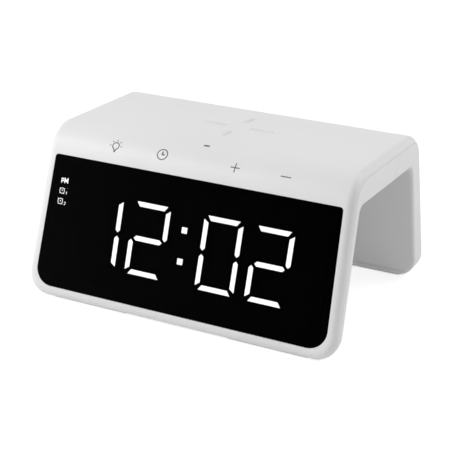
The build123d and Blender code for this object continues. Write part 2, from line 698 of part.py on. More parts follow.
# Front inner cover: back of the front leg and the front of the underside, with the night light window
with BuildPart() as front_cover:
    add(cover_form.part)
    with BuildSketch(Plane.YZ):
        Polygon(*split_side(-1), align=None)
    extrude(amount=BASE_WIDTH, both=True, mode=Mode.INTERSECT)
    with BuildSketch(top_plane.offset(-pad_top)):
        with Locations(*front_screws):
            Circle(COVER_PAD_DIAMETER / 2)
    extrude(amount=-COVER_PAD_HEIGHT - COVER_WALL / 2)
    with BuildSketch(top_plane.offset(-pad_top)):
        with Locations(*front_screws):
            Circle(SCREW_DIAMETER / 2 + FIT)
    extrude(amount=pad_top - TOP_THICKNESS, mode=Mode.SUBTRACT)
    with BuildSketch(top_plane.offset(-head_seat)):
        with Locations(*front_screws):
            Circle(SCREW_HEAD_DIAMETER / 2 + FIT)
    extrude(amount=-SCREW_SINK, mode=Mode.SUBTRACT)
    with BuildSketch(top_plane.offset(-light_board_back)):
        with Locations((0, light_place)):
            with GridLocations(light_board_length - LIGHT_RIB_WIDTH, 0, 2, 1):
                Rectangle(LIGHT_RIB_WIDTH, LIGHT_BOARD_WIDTH)
    extrude(amount=light_board_back - cover_inner - COVER_WALL / 2)
    with BuildSketch(top_plane.offset(-cover_inner)):
        with Locations((0, light_place)):
            RectangleRounded(LIGHT_LENGTH, LIGHT_WIDTH, LIGHT_CORNER)
    extrude(amount=-COVER_WALL, mode=Mode.SUBTRACT)

# Rear inner cover: back of the underside and the inner face of the rear leg
with BuildPart() as rear_cover:
    add(cover_form.part)
    with BuildSketch(Plane.YZ):
        Polygon(*split_side(1), align=None)
    extrude(amount=BASE_WIDTH, both=True, mode=Mode.INTERSECT)
    with BuildSketch(top_plane.offset(-pad_top)):
        with Locations(*rear_screws):
            Circle(COVER_PAD_DIAMETER / 2)
    extrude(amount=-COVER_PAD_HEIGHT - COVER_WALL / 2)
    with BuildSketch(top_plane.offset(-pad_top)):
        with Locations(*rear_screws):
            Circle(SCREW_DIAMETER / 2 + FIT)
    extrude(amount=pad_top - TOP_THICKNESS, mode=Mode.SUBTRACT)
    with BuildSketch(top_plane.offset(-head_seat)):
        with Locations(*rear_screws):
            Circle(SCREW_HEAD_DIAMETER / 2 + FIT)
    extrude(amount=-SCREW_SINK, mode=Mode.SUBTRACT)
    with BuildSketch(top_plane.offset(-cover_inner)):
        with Locations((BUZZER_PLACE, buzzer_level)):
            Circle(SOUND_HOLE_DIAMETER / 2)
            with PolarLocations(SOUND_HOLE_RING, 6):
                Circle(SOUND_HOLE_DIAMETER / 2)
    extrude(amount=-COVER_WALL, mode=Mode.SUBTRACT)

# Smoked display lens, flush with the front frame
with BuildPart() as display_lens:
    with BuildSketch(front_plane):
        with BuildLine():
            FilletPolyline(*lens_outline(0), radius=lens_radii(0), close=True)
        make_face()
    extrude(amount=-LENS_THICKNESS)


def bar_outlines(grow):
    """Corners of a digit's seven bars about the digit's middle, each bar grown by a margin."""
    side = digit_width / 2
    top = digit_height / 2
    half = BAR_WIDTH / 2 + grow
    gap = BAR_GAP - grow
    middle_gap = MIDDLE_GAP - grow
    slant = BAR_SLANT * half
    cut = CORNER_GAP - grow * sqrt(1 + BAR_SLANT**2)
    level_bar = [
        (-side + cut - slant, top + half),
        (side - cut + slant, top + half),
        (side - cut - slant, top - half),
        (-side + cut + slant, top - half),
    ]
    upright_bar = [
        (side + half, top - cut + slant),
        (side + half, half + gap),
        (side, gap),
        (side - half, half + gap),
        (side - half, top - cut - slant),
    ]
    middle_bar = [
        (-side + middle_gap, 0),
        (-side + half + middle_gap, half),
        (side - half - middle_gap, half),
        (side - middle_gap, 0),
        (side - half - middle_gap, -half),
        (-side + half + middle_gap, -half),
    ]
    return [
        level_bar,
        [(x, -y) for x, y in level_bar],
        upright_bar,
        [(-x, y) for x, y in upright_bar],
        [(x, -y) for x, y in upright_bar],
        [(-x, -y) for x, y in upright_bar],
        middle_bar,
    ]


def placed(outline, place):
    """An outline about a digit's middle moved to the digit's place on the display."""
    return [(x + place, y + digit_level) for x, y in outline]


digit_places = [DISPLAY_SHIFT + place for place in key_places]
colon_middle = digit_level + COLON_RISE
colon_places = [(COLON_SHIFT, colon_middle + side * COLON_SPREAD / 2) for side in (1, -1)]
icon_places = [
    (ICON_INSET - half_width(FOOT_PROUD + (lens_top - drop) * cos_front) + LENS_SIDE_RIM, lens_top - drop)
    for drop in ICON_DROPS
]

# Reflector: a dark plate with a light well for every bar, dot and icon
with BuildPart() as digit_reflector:
    with BuildSketch(front_plane.offset(-wells_front)):
        with BuildLine():
            FilletPolyline(
                *lens_outline(LENS_LEDGE + FIT), radius=lens_radii(LENS_LEDGE + FIT), close=True
            )
        make_face()
        for place in digit_places:
            for outline in bar_outlines(LOOSE_FIT):
                Polygon(*placed(outline, place), align=None, mode=Mode.SUBTRACT)
        with Locations(*colon_places):
            Rectangle(COLON_SIDE + 2 * LOOSE_FIT, COLON_SIDE + 2 * LOOSE_FIT, mode=Mode.SUBTRACT)
        with Locations(*icon_places):
            Rectangle(ICON_WIDTH + 2 * LOOSE_FIT, ICON_HEIGHT + 2 * LOOSE_FIT, mode=Mode.SUBTRACT)
    extrude(amount=-REFLECTOR_DEPTH)


# Bar diffusers, one group for each digit of the time
with BuildPart() as hour_tens_segments:
    with BuildSketch(front_plane.offset(-wells_front)):
        for outline in bar_outlines(0):
            Polygon(*placed(outline, digit_places[0]), align=None)
    extrude(amount=-DIFFUSER_DEPTH)

with BuildPart() as hour_ones_segments:
    with BuildSketch(front_plane.offset(-wells_front)):
        for outline in bar_outlines(0):
            Polygon(*placed(outline, digit_places[1]), align=None)
    extrude(amount=-DIFFUSER_DEPTH)

with BuildPart() as minute_tens_segments:
    with BuildSketch(front_plane.offset(-wells_front)):
        for outline in bar_outlines(0):
            Polygon(*placed(outline, digit_places[2]), align=None)
    extrude(amount=-DIFFUSER_DEPTH)

with BuildPart() as minute_ones_segments:
    with BuildSketch(front_plane.offset(-wells_front)):
        for outline in bar_outlines(0):
            Polygon(*placed(outline, digit_places[3]), align=None)
    extrude(amount=-DIFFUSER_DEPTH)

with BuildPart() as colon_dots:
    with BuildSketch(front_plane.offset(-wells_front)):
        with Locations(*colon_places):
            Rectangle(COLON_SIDE, COLON_SIDE)
    extrude(amount=-DIFFUSER_DEPTH)

with BuildPart() as status_icons:
    with BuildSketch(front_plane.offset(-wells_front)):
        with Locations(*icon_places):
            Rectangle(ICON_WIDTH, ICON_HEIGHT)
    extrude(amount=-DIFFUSER_DEPTH)

# Display board behind the reflector, on the staked pins of the shell
with BuildPart() as display_board:
    with BuildSketch(front_plane.offset(-reflector_back)):
        with BuildLine():
            FilletPolyline(
                *lens_outline(-DISPLAY_BOARD_OUTSET, DISPLAY_BOARD_INSET),
                radius=lens_radii(-DISPLAY_BOARD_OUTSET),
                close=True,
            )
        make_face()
        with Locations(*display_pins):
            Circle(DISPLAY_PIN_DIAMETER / 2 + LOOSE_FIT, mode=Mode.SUBTRACT)
    extrude(amount=-BOARD_THICKNESS)

with BuildPart() as segment_leds:
    with BuildSketch(front_plane.offset(-reflector_back)):
        for place in digit_places:
            with Locations((place, digit_level)):
                with GridLocations(0, digit_height / 2, 1, 3):
                    Rectangle(LED_LENGTH, LED_WIDTH)
                with GridLocations(digit_width, digit_height / 2, 2, 2):
                    Rectangle(LED_WIDTH, LED_LENGTH)
        with Locations(*colon_places, *icon_places):
            Rectangle(LED_LENGTH, LED_WIDTH)
    extrude(amount=LED_HEIGHT)


def front_point(level, depth):
    """Point (y, z) at a level up the front slope and a depth behind the front face."""
    place = front_plane.from_local_coords((0, level, -depth))
    return (place.Y, place.Z)


def rear_point(level, depth):
    """Point (y, z) at a level up the rear face and a depth in front of it."""
    place = rear_plane.from_local_coords((0, level, -depth))
    return (place.Y, place.Z)


def top_point(place, depth):
    """Point (y, z) at a place on the top, towards the rear, and a depth below it."""
    point = top_plane.from_local_coords((0, place, -depth))
    return (point.Y, point.Z)


ribbon_level = main_back + RIBBON_THICKNESS / 2

# Flat cable from the display board up to the front edge of the main board
with BuildPart() as display_ribbon:
    ribbon_depth = display_back + RIBBON_THICKNESS / 2
    with BuildSketch(Plane.YZ):
        with BuildLine():
            FilletPolyline(
                front_point(lens_top - 3 * RIBBON_LAP, ribbon_depth),
                outer_corners(ribbon_depth, 0, ribbon_level)[1],
                top_point(main_board_front + RIBBON_LAP, ribbon_level),
                radius=RIBBON_BEND,
            )
        trace(line_width=RIBBON_THICKNESS)
    extrude(amount=RIBBON_WIDTH / 2, both=True)

# Four low grip ribs around the charging place: a sloped cap on the top, and a smaller foot in its seat
with BuildPart() as grip_ribs:
    for trim, height, slope in ((0, RIB_PROUD, RIB_SLOPE), (2 * RIB_LIP, -RIB_SEAT, 0)):
        with BuildSketch(top_plane):
            with Locations((side_rib_reach, charge_place), (-side_rib_reach, charge_place)):
                SlotOverall(SIDE_RIB_LENGTH - trim, RIB_WIDTH - trim)
            with Locations((0, charge_place + end_rib_reach), (0, charge_place - end_rib_reach)):
                SlotOverall(END_RIB_LENGTH - trim, RIB_WIDTH - trim, rotation=90)
        extrude(amount=height, taper=slope)

# Flat charging coil of one wire, wound outwards in half turns
coil_plane = top_plane.offset(-coil_top - wire_diameter / 2)
with BuildPart() as charging_coil:
    with BuildLine(coil_plane) as coil_path:
        for half_turn in range(2 * COIL_TURNS):
            side = 1 if half_turn % 2 == 0 else -1
            CenterArc(
                (side * coil_pitch / 4, charge_place),
                coil_inner + half_turn * coil_pitch / 2,
                0 if side == 1 else 180,
                180,
            )
    with BuildSketch(Plane(origin=coil_path.wire() @ 0, z_dir=coil_path.wire() % 0)):
        Circle(wire_diameter / 2)
    sweep(path=coil_path.wire())

with BuildPart() as coil_ferrite:
    with BuildSketch(top_plane.offset(-ferrite_top)):
        with Locations((0, charge_place)):
            Rectangle(FERRITE_WIDTH, ferrite_length)
    extrude(amount=-FERRITE_THICKNESS)

# Tray that holds the ferrite and the coil under the top, with two screwed ears
with BuildPart() as coil_tray:
    with BuildSketch(top_plane.offset(-tray_top)):
        with Locations((0, charge_place)):
            Rectangle(tray_width, tray_length)
            Rectangle(tray_width + 2 * TRAY_EAR_REACH, TRAY_EAR_WIDTH)
        with Locations(*tray_posts):
            Circle(SMALL_SCREW_DIAMETER / 2 + FIT, mode=Mode.SUBTRACT)
    extrude(amount=-TRAY_WALL)
    with BuildSketch(top_plane.offset(-tray_top)):
        with Locations((0, charge_place)):
            Rectangle(tray_width, tray_length)
            Rectangle(FERRITE_WIDTH + 2 * FIT, ferrite_length + 2 * FIT, mode=Mode.SUBTRACT)
    extrude(amount=tray_top - SHELL_WALL - TRAY_SKIN_GAP)

main_board_middle = (main_board_front + main_board_rear) / 2
with BuildPart() as main_board:
    with BuildSketch(top_plane.offset(-MAIN_BOARD_DEPTH)):
        with Locations((0, main_board_middle)):
            Rectangle(2 * main_board_half, main_board_rear - main_board_front)
        with Locations(*main_posts):
            Circle(SMALL_SCREW_DIAMETER / 2 + FIT, mode=Mode.SUBTRACT)
    extrude(amount=-MAIN_BOARD_THICKNESS)

# Controller, charging inductor and light driver on the underside of the main board
with BuildPart() as control_chips:
    with BuildSketch(top_plane.offset(-main_back)):
        with Locations((CONTROLLER_PLACE, chip_level)):
            Rectangle(CONTROLLER_SIDE, CONTROLLER_SIDE)
    extrude(amount=-CONTROLLER_HEIGHT)
    with BuildSketch(top_plane.offset(-main_back)):
        with Locations((INDUCTOR_PLACE, chip_level)):
            Rectangle(INDUCTOR_SIDE, INDUCTOR_SIDE)
    extrude(amount=-INDUCTOR_HEIGHT)
    with BuildSketch(top_plane.offset(-main_back)):
        with Locations((DRIVER_PLACE, chip_level)):
            Rectangle(DRIVER_SIDE, DRIVER_SIDE)
    extrude(amount=-DRIVER_HEIGHT)

with BuildPart() as buzzer:
    with BuildSketch(top_plane.offset(-main_back)):
        with Locations((BUZZER_PLACE, buzzer_level)):
            Circle(BUZZER_DIAMETER / 2)
    extrude(amount=-BUZZER_HEIGHT)
    with BuildSketch(top_plane.offset(-main_back - BUZZER_HEIGHT)):
        with Locations((BUZZER_PLACE, buzzer_level)):
            Circle(BUZZER_PORT_DIAMETER / 2)
    extrude(amount=BUZZER_HEIGHT / 2, mode=Mode.SUBTRACT)

# Touch board along the rounded edge, notched for the display cable
with BuildPart() as touch_board:
    with BuildSketch(key_plane.offset(touch_face)):
        Rectangle(2 * touch_board_half, TOUCH_BOARD_WIDTH)
        with Locations((0, (RIBBON_NOTCH_DEPTH - TOUCH_BOARD_WIDTH) / 2)):
            Rectangle(RIBBON_NOTCH, RIBBON_NOTCH_DEPTH, mode=Mode.SUBTRACT)
        with Locations(*touch_posts):
            Circle(SMALL_SCREW_DIAMETER / 2 + FIT, mode=Mode.SUBTRACT)
    extrude(amount=-BOARD_THICKNESS)

# Foam sensing pads between the touch board and the skin under each key sign
with BuildPart() as touch_pads:
    with BuildSketch(key_plane.offset(touch_face)):
        with Locations(*((place, KEY_LEVEL) for place in key_places)):
            Circle(TOUCH_PAD_DIAMETER / 2)
    extrude(amount=TOUCH_BOARD_DEPTH)
    with BuildSketch(Plane.YZ):
        with Locations((key_axis_y, key_axis_z)):
            Circle(KEY_EDGE_RADIUS - SHELL_WALL - LOOSE_FIT)
    extrude(amount=BASE_WIDTH / 2, both=True, mode=Mode.INTERSECT)

with BuildPart() as charge_led:
    with BuildSketch(key_plane.offset(touch_face)):
        with Locations((PIPE_SHIFT, PIPE_LEVEL)):
            Rectangle(CHARGE_LED_LENGTH, CHARGE_LED_WIDTH)
    extrude(amount=CHARGE_LED_HEIGHT)

# Light pipe from the charge light to a short mark on the rounded edge
with BuildPart() as charge_light_pipe:
    with BuildSketch(key_plane.offset(touch_face + CHARGE_LED_HEIGHT + LOOSE_FIT)):
        with Locations((PIPE_SHIFT, PIPE_LEVEL)):
            Rectangle(PIPE_LENGTH, PIPE_WIDTH)
    extrude(amount=TOUCH_BOARD_DEPTH)
    with BuildSketch(key_plane.offset(touch_face + CHARGE_LED_HEIGHT + LOOSE_FIT)):
        with Locations((PIPE_SHIFT, PIPE_LEVEL)):
            Rectangle(PIPE_LENGTH + 2 * PIPE_COLLAR, PIPE_WIDTH + 2 * PIPE_COLLAR)
    extrude(amount=PIPE_COLLAR_THICKNESS)
    with BuildSketch(Plane.YZ):
        with Locations((key_axis_y, key_axis_z)):
            Circle(KEY_EDGE_RADIUS)
    extrude(amount=BASE_WIDTH / 2, both=True, mode=Mode.INTERSECT)

# Night light under the top: board, lights and the window strip
with BuildPart() as night_light_board:
    with BuildSketch(top_plane.offset(-light_board_top)):
        with Locations((0, light_place)):
            Rectangle(light_board_length, LIGHT_BOARD_WIDTH)
    extrude(amount=-BOARD_THICKNESS)

with BuildPart() as night_light_leds:
    with BuildSketch(top_plane.offset(-light_board_back)):
        with Locations((0, light_place)):
            with GridLocations(LIGHT_LED_PITCH, 0, LIGHT_LEDS, 1):
                Rectangle(LIGHT_LED_SIDE, LIGHT_LED_SIDE)
    extrude(amount=-LIGHT_LED_HEIGHT)

with BuildPart() as night_light_diffuser:
    with BuildSketch(top_plane.offset(-cover_inner)):
        with Locations((0, light_place)):
            RectangleRounded(
                LIGHT_LENGTH - 2 * LOOSE_FIT, LIGHT_WIDTH - 2 * LOOSE_FIT, LIGHT_CORNER - LOOSE_FIT
            )
    extrude(amount=-COVER_WALL)
    with BuildSketch(top_plane.offset(-cover_inner)):
        with Locations((0, light_place)):
            Rectangle(LIGHT_LENGTH + 2 * LIGHT_FLANGE, LIGHT_WIDTH + 2 * LIGHT_FLANGE)
    extrude(amount=LIGHT_FLANGE_THICKNESS)

# Power inlet in the rear leg: metal mouth, contact tongue and its small board
with BuildPart() as power_inlet:
    with BuildSketch(rear_plane.offset(-INLET_SINK)):
        with Locations((inlet_place, INLET_LEVEL)):
            SlotOverall(INLET_WIDTH, INLET_HEIGHT)
    extrude(amount=-INLET_LENGTH)
    with BuildSketch(rear_plane.offset(-INLET_SINK)):
        with Locations((inlet_place, INLET_LEVEL)):
            SlotOverall(INLET_WIDTH - 2 * INLET_WALL, INLET_HEIGHT - 2 * INLET_WALL)
    extrude(amount=INLET_BACK - INLET_LENGTH, mode=Mode.SUBTRACT)

with BuildPart() as inlet_tongue:
    with BuildSketch(rear_plane.offset(-INLET_SINK - TONGUE_SINK)):
        with Locations((inlet_place, INLET_LEVEL)):
            Rectangle(TONGUE_WIDTH, TONGUE_THICKNESS)
    extrude(amount=INLET_BACK + TONGUE_SINK - INLET_LENGTH)

with BuildPart() as inlet_board:
    with BuildSketch(rear_plane.offset(-SHELL_WALL - FIT)):
        with Locations((inlet_place, inlet_top - BOARD_THICKNESS / 2)):
            Rectangle(INLET_BOARD_WIDTH, BOARD_THICKNESS)
    extrude(amount=-INLET_BOARD_LENGTH)

# Flat cables from the inlet board and from the cell board up to the main board
with BuildPart() as power_ribbon:
    with BuildSketch(Plane.YZ.offset(-inlet_place)):
        with BuildLine():
            FilletPolyline(
                rear_point(inlet_top, INLET_RIBBON_DEPTH),
                outer_corners(INLET_RIBBON_DEPTH, 0, ribbon_level)[2],
                top_point(main_board_rear - RIBBON_LAP, ribbon_level),
                radius=RIBBON_BEND,
            )
        trace(line_width=RIBBON_THICKNESS)
    extrude(amount=REAR_RIBBON_WIDTH / 2, both=True)

with BuildPart() as battery_ribbon:
    cell_ribbon_depth = contact_back + RIBBON_THICKNESS / 2
    with BuildSketch(Plane.YZ.offset(-cell_place)):
        with BuildLine():
            FilletPolyline(
                rear_point(CELL_LEVEL + CONTACT_BOARD_HEIGHT / 2 - RIBBON_LAP, cell_ribbon_depth),
                outer_corners(cell_ribbon_depth, 0, ribbon_level)[2],
                top_point(main_board_rear - RIBBON_LAP, ribbon_level),
                radius=RIBBON_BEND,
            )
        trace(line_width=RIBBON_THICKNESS)
    extrude(amount=REAR_RIBBON_WIDTH / 2, both=True)

# Twist door over the back-up cell: flange, plug, two lugs and a coin slot
with BuildPart() as battery_door:
    with BuildSketch(rear_plane):
        with Locations((cell_place, CELL_LEVEL)):
            Circle(DOOR_RADIUS)
    extrude(amount=-DOOR_FLANGE)
    with BuildSketch(rear_plane.offset(-DOOR_FLANGE)):
        with Locations((cell_place, CELL_LEVEL)):
            Circle(DOOR_PLUG_RADIUS)
    extrude(amount=DOOR_FLANGE - lug_back)
    with BuildSketch(rear_plane.offset(-lug_front)):
        with Locations((cell_place, CELL_LEVEL)):
            Circle(DOOR_LUG_RADIUS)
            Rectangle(4 * DOOR_LUG_RADIUS, DOOR_LUG_WIDTH, mode=Mode.INTERSECT)
    extrude(amount=-DOOR_LUG_THICKNESS)
    with BuildSketch(rear_plane):
        with Locations((cell_place, CELL_LEVEL)):
            SlotOverall(DOOR_SLOT_LENGTH, DOOR_SLOT_WIDTH)
    extrude(amount=-DOOR_SLOT_DEPTH, mode=Mode.SUBTRACT)

with BuildPart() as coin_cell:
    with BuildSketch(rear_plane.offset(-cell_front)):
        with Locations((cell_place, CELL_LEVEL)):
            Circle(CELL_DIAMETER / 2)
    extrude(amount=CELL_STEP - CELL_THICKNESS)
    with BuildSketch(rear_plane.offset(-cell_back)):
        with Locations((cell_place, CELL_LEVEL)):
            Circle(CELL_CAP_DIAMETER / 2)
    extrude(amount=CELL_STEP)

# Bent spring strip between the cell and its board
contact_origin = rear_plane.from_local_coords((cell_place, CELL_LEVEL, 0))
contact_plane = Plane(origin=contact_origin, x_dir=rear_plane.x_dir, z_dir=rear_plane.y_dir)
with BuildPart() as cell_contact:
    with BuildSketch(contact_plane):
        with BuildLine():
            FilletPolyline(
                (-CONTACT_REACH - CONTACT_FOOT, contact_front - CONTACT_THICKNESS / 2),
                (-CONTACT_REACH, contact_front - CONTACT_THICKNESS / 2),
                (-CONTACT_FOOT, cell_back + CONTACT_THICKNESS / 2),
                (CONTACT_FOOT, cell_back + CONTACT_THICKNESS / 2),
                (CONTACT_REACH, contact_front - CONTACT_THICKNESS / 2),
                (CONTACT_REACH + CONTACT_FOOT, contact_front - CONTACT_THICKNESS / 2),
                radius=CONTACT_HEIGHT,
            )
        trace(line_width=CONTACT_THICKNESS)
    extrude(amount=CONTACT_WIDTH / 2, both=True)

with BuildPart() as contact_board:
    with BuildSketch(rear_plane.offset(-contact_front)):
        with Locations((cell_place, CELL_LEVEL)):
            Rectangle(CONTACT_BOARD_WIDTH, CONTACT_BOARD_HEIGHT)
        with Locations(*contact_posts):
            Circle(SMALL_SCREW_DIAMETER / 2 + FIT, mode=Mode.SUBTRACT)
    extrude(amount=-BOARD_THICKNESS)

# Screws that hold the covers from below, with crossed slots
with BuildPart() as cover_screws:
    with BuildSketch(top_plane.offset(-head_seat)):
        with Locations(*front_screws, *rear_screws):
            Circle(SCREW_HEAD_DIAMETER / 2)
    extrude(amount=-SCREW_HEAD_HEIGHT)
    with BuildSketch(top_plane.offset(-head_seat)):
        with Locations(*front_screws, *rear_screws):
            Circle(SCREW_DIAMETER / 2)
    extrude(amount=SCREW_LENGTH)
    with BuildSketch(top_plane.offset(-head_seat - SCREW_HEAD_HEIGHT)):
        with Locations(*front_screws, *rear_screws):
            Rectangle(SCREW_HEAD_DIAMETER / 2, SCREW_SLOT_WIDTH)
            Rectangle(SCREW_SLOT_WIDTH, SCREW_HEAD_DIAMETER / 2)
    extrude(amount=SCREW_SLOT_DEPTH, mode=Mode.SUBTRACT)

# Small screws of the tray and of the boards: plane, places, face under the head, length
small_screws = (
    (top_plane.offset(-tray_back), tray_posts, TRAY_WALL + TRAY_SCREW_GRIP),
    (top_plane.offset(-main_back), main_posts, MAIN_BOARD_THICKNESS + SMALL_SCREW_GRIP),
    (key_plane.offset(touch_back), touch_posts, BOARD_THICKNESS + TOUCH_SCREW_GRIP),
    (rear_plane.offset(-contact_back), contact_posts, BOARD_THICKNESS + SMALL_SCREW_GRIP),
)
with BuildPart() as board_screws:
    for seat, places, length in small_screws:
        with BuildSketch(seat):
            with Locations(*places):
                Circle(SMALL_HEAD_DIAMETER / 2)
        extrude(amount=-SMALL_HEAD_HEIGHT)
        with BuildSketch(seat):
            with Locations(*places):
                Circle(SMALL_SCREW_DIAMETER / 2)
        extrude(amount=length)

# Rubber feet under the two legs
with BuildPart() as front_feet:
    with BuildSketch(Plane.XY):
        with Locations(*mirrored([(foot_reach, front_foot_place)])):
            SlotOverall(FOOT_LENGTH, FRONT_FOOT_WIDTH)
    extrude(amount=FOOT_PROUD + FOOT_SEAT)

with BuildPart() as rear_feet:
    with BuildSketch(Plane.XY):
        with Locations(*mirrored([(foot_reach, rear_foot_place)])):
            SlotOverall(FOOT_LENGTH, REAR_FOOT_WIDTH)
    extrude(amount=FOOT_PROUD + FOOT_SEAT)

pieces = {
    "outer_shell": outer_shell,
    "front_cover": front_cover,
    "rear_cover": rear_cover,
    "display_lens": display_lens,
    "digit_reflector": digit_reflector,
    "hour_tens_segments": hour_tens_segments,
    "hour_ones_segments": hour_ones_segments,
    "minute_tens_segments": minute_tens_segments,
    "minute_ones_segments": minute_ones_segments,
    "colon_dots": colon_dots,
    "status_icons": status_icons,
    "display_board": display_board,
    "segment_leds": segment_leds,
    "display_ribbon": display_ribbon,
    "grip_ribs": grip_ribs,
    "charging_coil": charging_coil,
    "coil_ferrite": coil_ferrite,
    "coil_tray": coil_tray,
    "main_board": main_board,
    "control_chips": control_chips,
    "buzzer": buzzer,
    "touch_board": touch_board,
    "touch_pads": touch_pads,
    "charge_led": charge_led,
    "charge_light_pipe": charge_light_pipe,
    "night_light_board": night_light_board,
    "night_light_leds": night_light_leds,
    "night_light_diffuser": night_light_diffuser,
    "power_inlet": power_inlet,
    "inlet_tongue": inlet_tongue,
    "inlet_board": inlet_board,
    "power_ribbon": power_ribbon,
    "battery_door": battery_door,
    "coin_cell": coin_cell,
    "cell_contact": cell_contact,
    "contact_board": contact_board,
    "battery_ribbon": battery_ribbon,
    "cover_screws": cover_screws,
    "board_screws": board_screws,
    "front_feet": front_feet,
    "rear_feet": rear_feet,
}
for name, piece in pieces.items():
    piece.part.label = name
    export_step(piece.part, f"parts/{name}.step")
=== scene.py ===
# %% [markdown]
# A white alarm clock shaped like an arch, with a smoked window in its leaning front, a rounded
# edge that holds four touch keys, and a charging place for a phone on its flat top.
# The imported model is the fixed frame: every solid already stands where it belongs, in metres.
# This lesson dresses that frame: finishes for the solids, the lit time behind the window, the
# printed key signs and the small lit signs, then a pale studio to look at it in.

from math import cos, pi, radians, sin

import bpy
from mathutils import Matrix, Vector


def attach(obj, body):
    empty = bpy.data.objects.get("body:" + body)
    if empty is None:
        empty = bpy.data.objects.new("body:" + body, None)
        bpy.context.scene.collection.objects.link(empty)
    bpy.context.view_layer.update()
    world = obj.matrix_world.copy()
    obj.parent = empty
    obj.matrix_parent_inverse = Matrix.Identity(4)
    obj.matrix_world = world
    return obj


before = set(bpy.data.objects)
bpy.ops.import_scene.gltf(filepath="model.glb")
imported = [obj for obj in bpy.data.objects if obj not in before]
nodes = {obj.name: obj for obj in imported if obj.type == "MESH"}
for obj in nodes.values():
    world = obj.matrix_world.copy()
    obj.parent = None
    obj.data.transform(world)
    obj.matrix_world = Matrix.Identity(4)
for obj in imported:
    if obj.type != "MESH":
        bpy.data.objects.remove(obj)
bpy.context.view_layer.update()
MM = 0.001

# %% [markdown]
# Colours are picked as a painter would name them, as sRGB hex values. Shaders add light, so they
# need linear values. A plain power of 2.2 would come close, but the standard's own curve is as
# short and it is exact. One function makes the change, and nothing else converts colour.

# %% From hex to linear
def to_linear(code):
    """Linear RGBA of an sRGB colour written as six hex digits, by the standard's own curve."""
    parts = [int(code[at:at + 2], 16) / 255 for at in (0, 2, 4)]
    return [v / 12.92 if v <= 0.04045 else ((v + 0.055) / 1.055) ** 2.4 for v in parts] + [1.0]


WHITE = to_linear("FFFFFF")
print("mid grey, linear:", round(to_linear("808080")[0], 3))

# %% [markdown]
# Every finish is a small graph of nodes. One helper adds a node, sets its properties and values,
# and links what feeds it, so that a finish reads from top to bottom like a recipe. Another one
# starts a finish, and sets what is the same all over the surface on the shader's own sockets.
# Patterns use object coordinates: the solids are in metres, so a pattern with a feature size in
# millimetres has a scale of 1000 divided by that size.

# %% Add a node, start a finish, size a pattern
def add_node(tree, kind, values=None, links=None, **settings):
    """A node with its properties, its plain input values and what its inputs are linked to."""
    node = tree.nodes.new(kind)
    for name, value in settings.items():
        setattr(node, name, value)
    for socket, value in (values or {}).items():
        node.inputs[socket].default_value = value
    for socket, source in (links or {}).items():
        tree.links.new(source, node.inputs[socket])
    return node


def start_finish(name, values=None):
    """A material, its tree, object coordinates and the principled shader at its end."""
    material = bpy.data.materials.new(name)
    material.use_nodes = True
    tree = material.node_tree
    tree.nodes.clear()
    place = add_node(tree, "ShaderNodeTexCoord").outputs["Object"]
    shader = add_node(tree, "ShaderNodeBsdfPrincipled", values)
    add_node(tree, "ShaderNodeOutputMaterial", links={"Surface": shader.outputs["BSDF"]})
    return material, tree, place, shader


def per_metre(size_mm):
    """Texture scale for a pattern whose features are this many millimetres apart."""
    return 1 / (size_mm * MM)


print("scale of a pattern of 0.5 mm:", round(per_metre(0.5)))

# %% [markdown]
# No real surface is one flat colour. A pattern has a value between 0 and 1 at each place, and it
# can lead a finish in three ways: a colour runs between two shades, a number such as the
# roughness between two ends, and the skin rises by a depth in millimetres. Each finish could wire
# this up for itself, but all would repeat the same steps, so they are written once.

# %% Let a pattern lead a shader
# Noise seldom leaves this middle part of its range
RAMP_ENDS = 0.3, 0.7


def lead(tree, shader, pattern, colours=None, numbers=None, depth_mm=0.0, strength=1.0):
    """Let a pattern lead colours and numbers of a shader between two ends, and raise its skin."""
    for socket, codes in (colours or {}).items():
        ramp = add_node(tree, "ShaderNodeValToRGB", links={"Fac": pattern})
        for stop, position, code in zip(ramp.color_ramp.elements, RAMP_ENDS, codes):
            stop.position, stop.color = position, to_linear(code)
        tree.links.new(ramp.outputs["Color"], shader.inputs[socket])
    for socket, (low, high) in (numbers or {}).items():
        run = add_node(tree, "ShaderNodeMapRange", {"To Min": low, "To Max": high},
                       {"Value": pattern})
        tree.links.new(run.outputs[0], shader.inputs[socket])
    if depth_mm:
        bump = add_node(tree, "ShaderNodeBump",
                        {"Strength": strength, "Distance": depth_mm * MM}, {"Height": pattern})
        tree.links.new(bump.outputs["Normal"], shader.inputs["Normal"])


def wear(node_names, material):
    """Give nodes of the frame a finish."""
    for name in node_names:
        mesh = nodes[name].data
        mesh.materials.clear()
        mesh.materials.append(material)
    print(material.name, "on", ", ".join(node_names))


# %% [markdown]
# The case, its two inner covers and the battery door are moulded ABS, left white. The mould is
# lightly spark eroded, which leaves a satin skin: soft broad highlights and no sharp reflection.
# A scan of such a skin would need a picture and an unwrapped surface. A noise needs neither.
# The real grain is about 0.1 mm wide, too fine for the picture, so it is drawn at 0.5 mm.
# A slow second noise stands for the faint flow shades that a large white moulding shows. The
# tray of the coil is the same plastic in grey.

# %% White moulded ABS
ABS_IOR, ABS_SPREAD = 1.53, 0.06


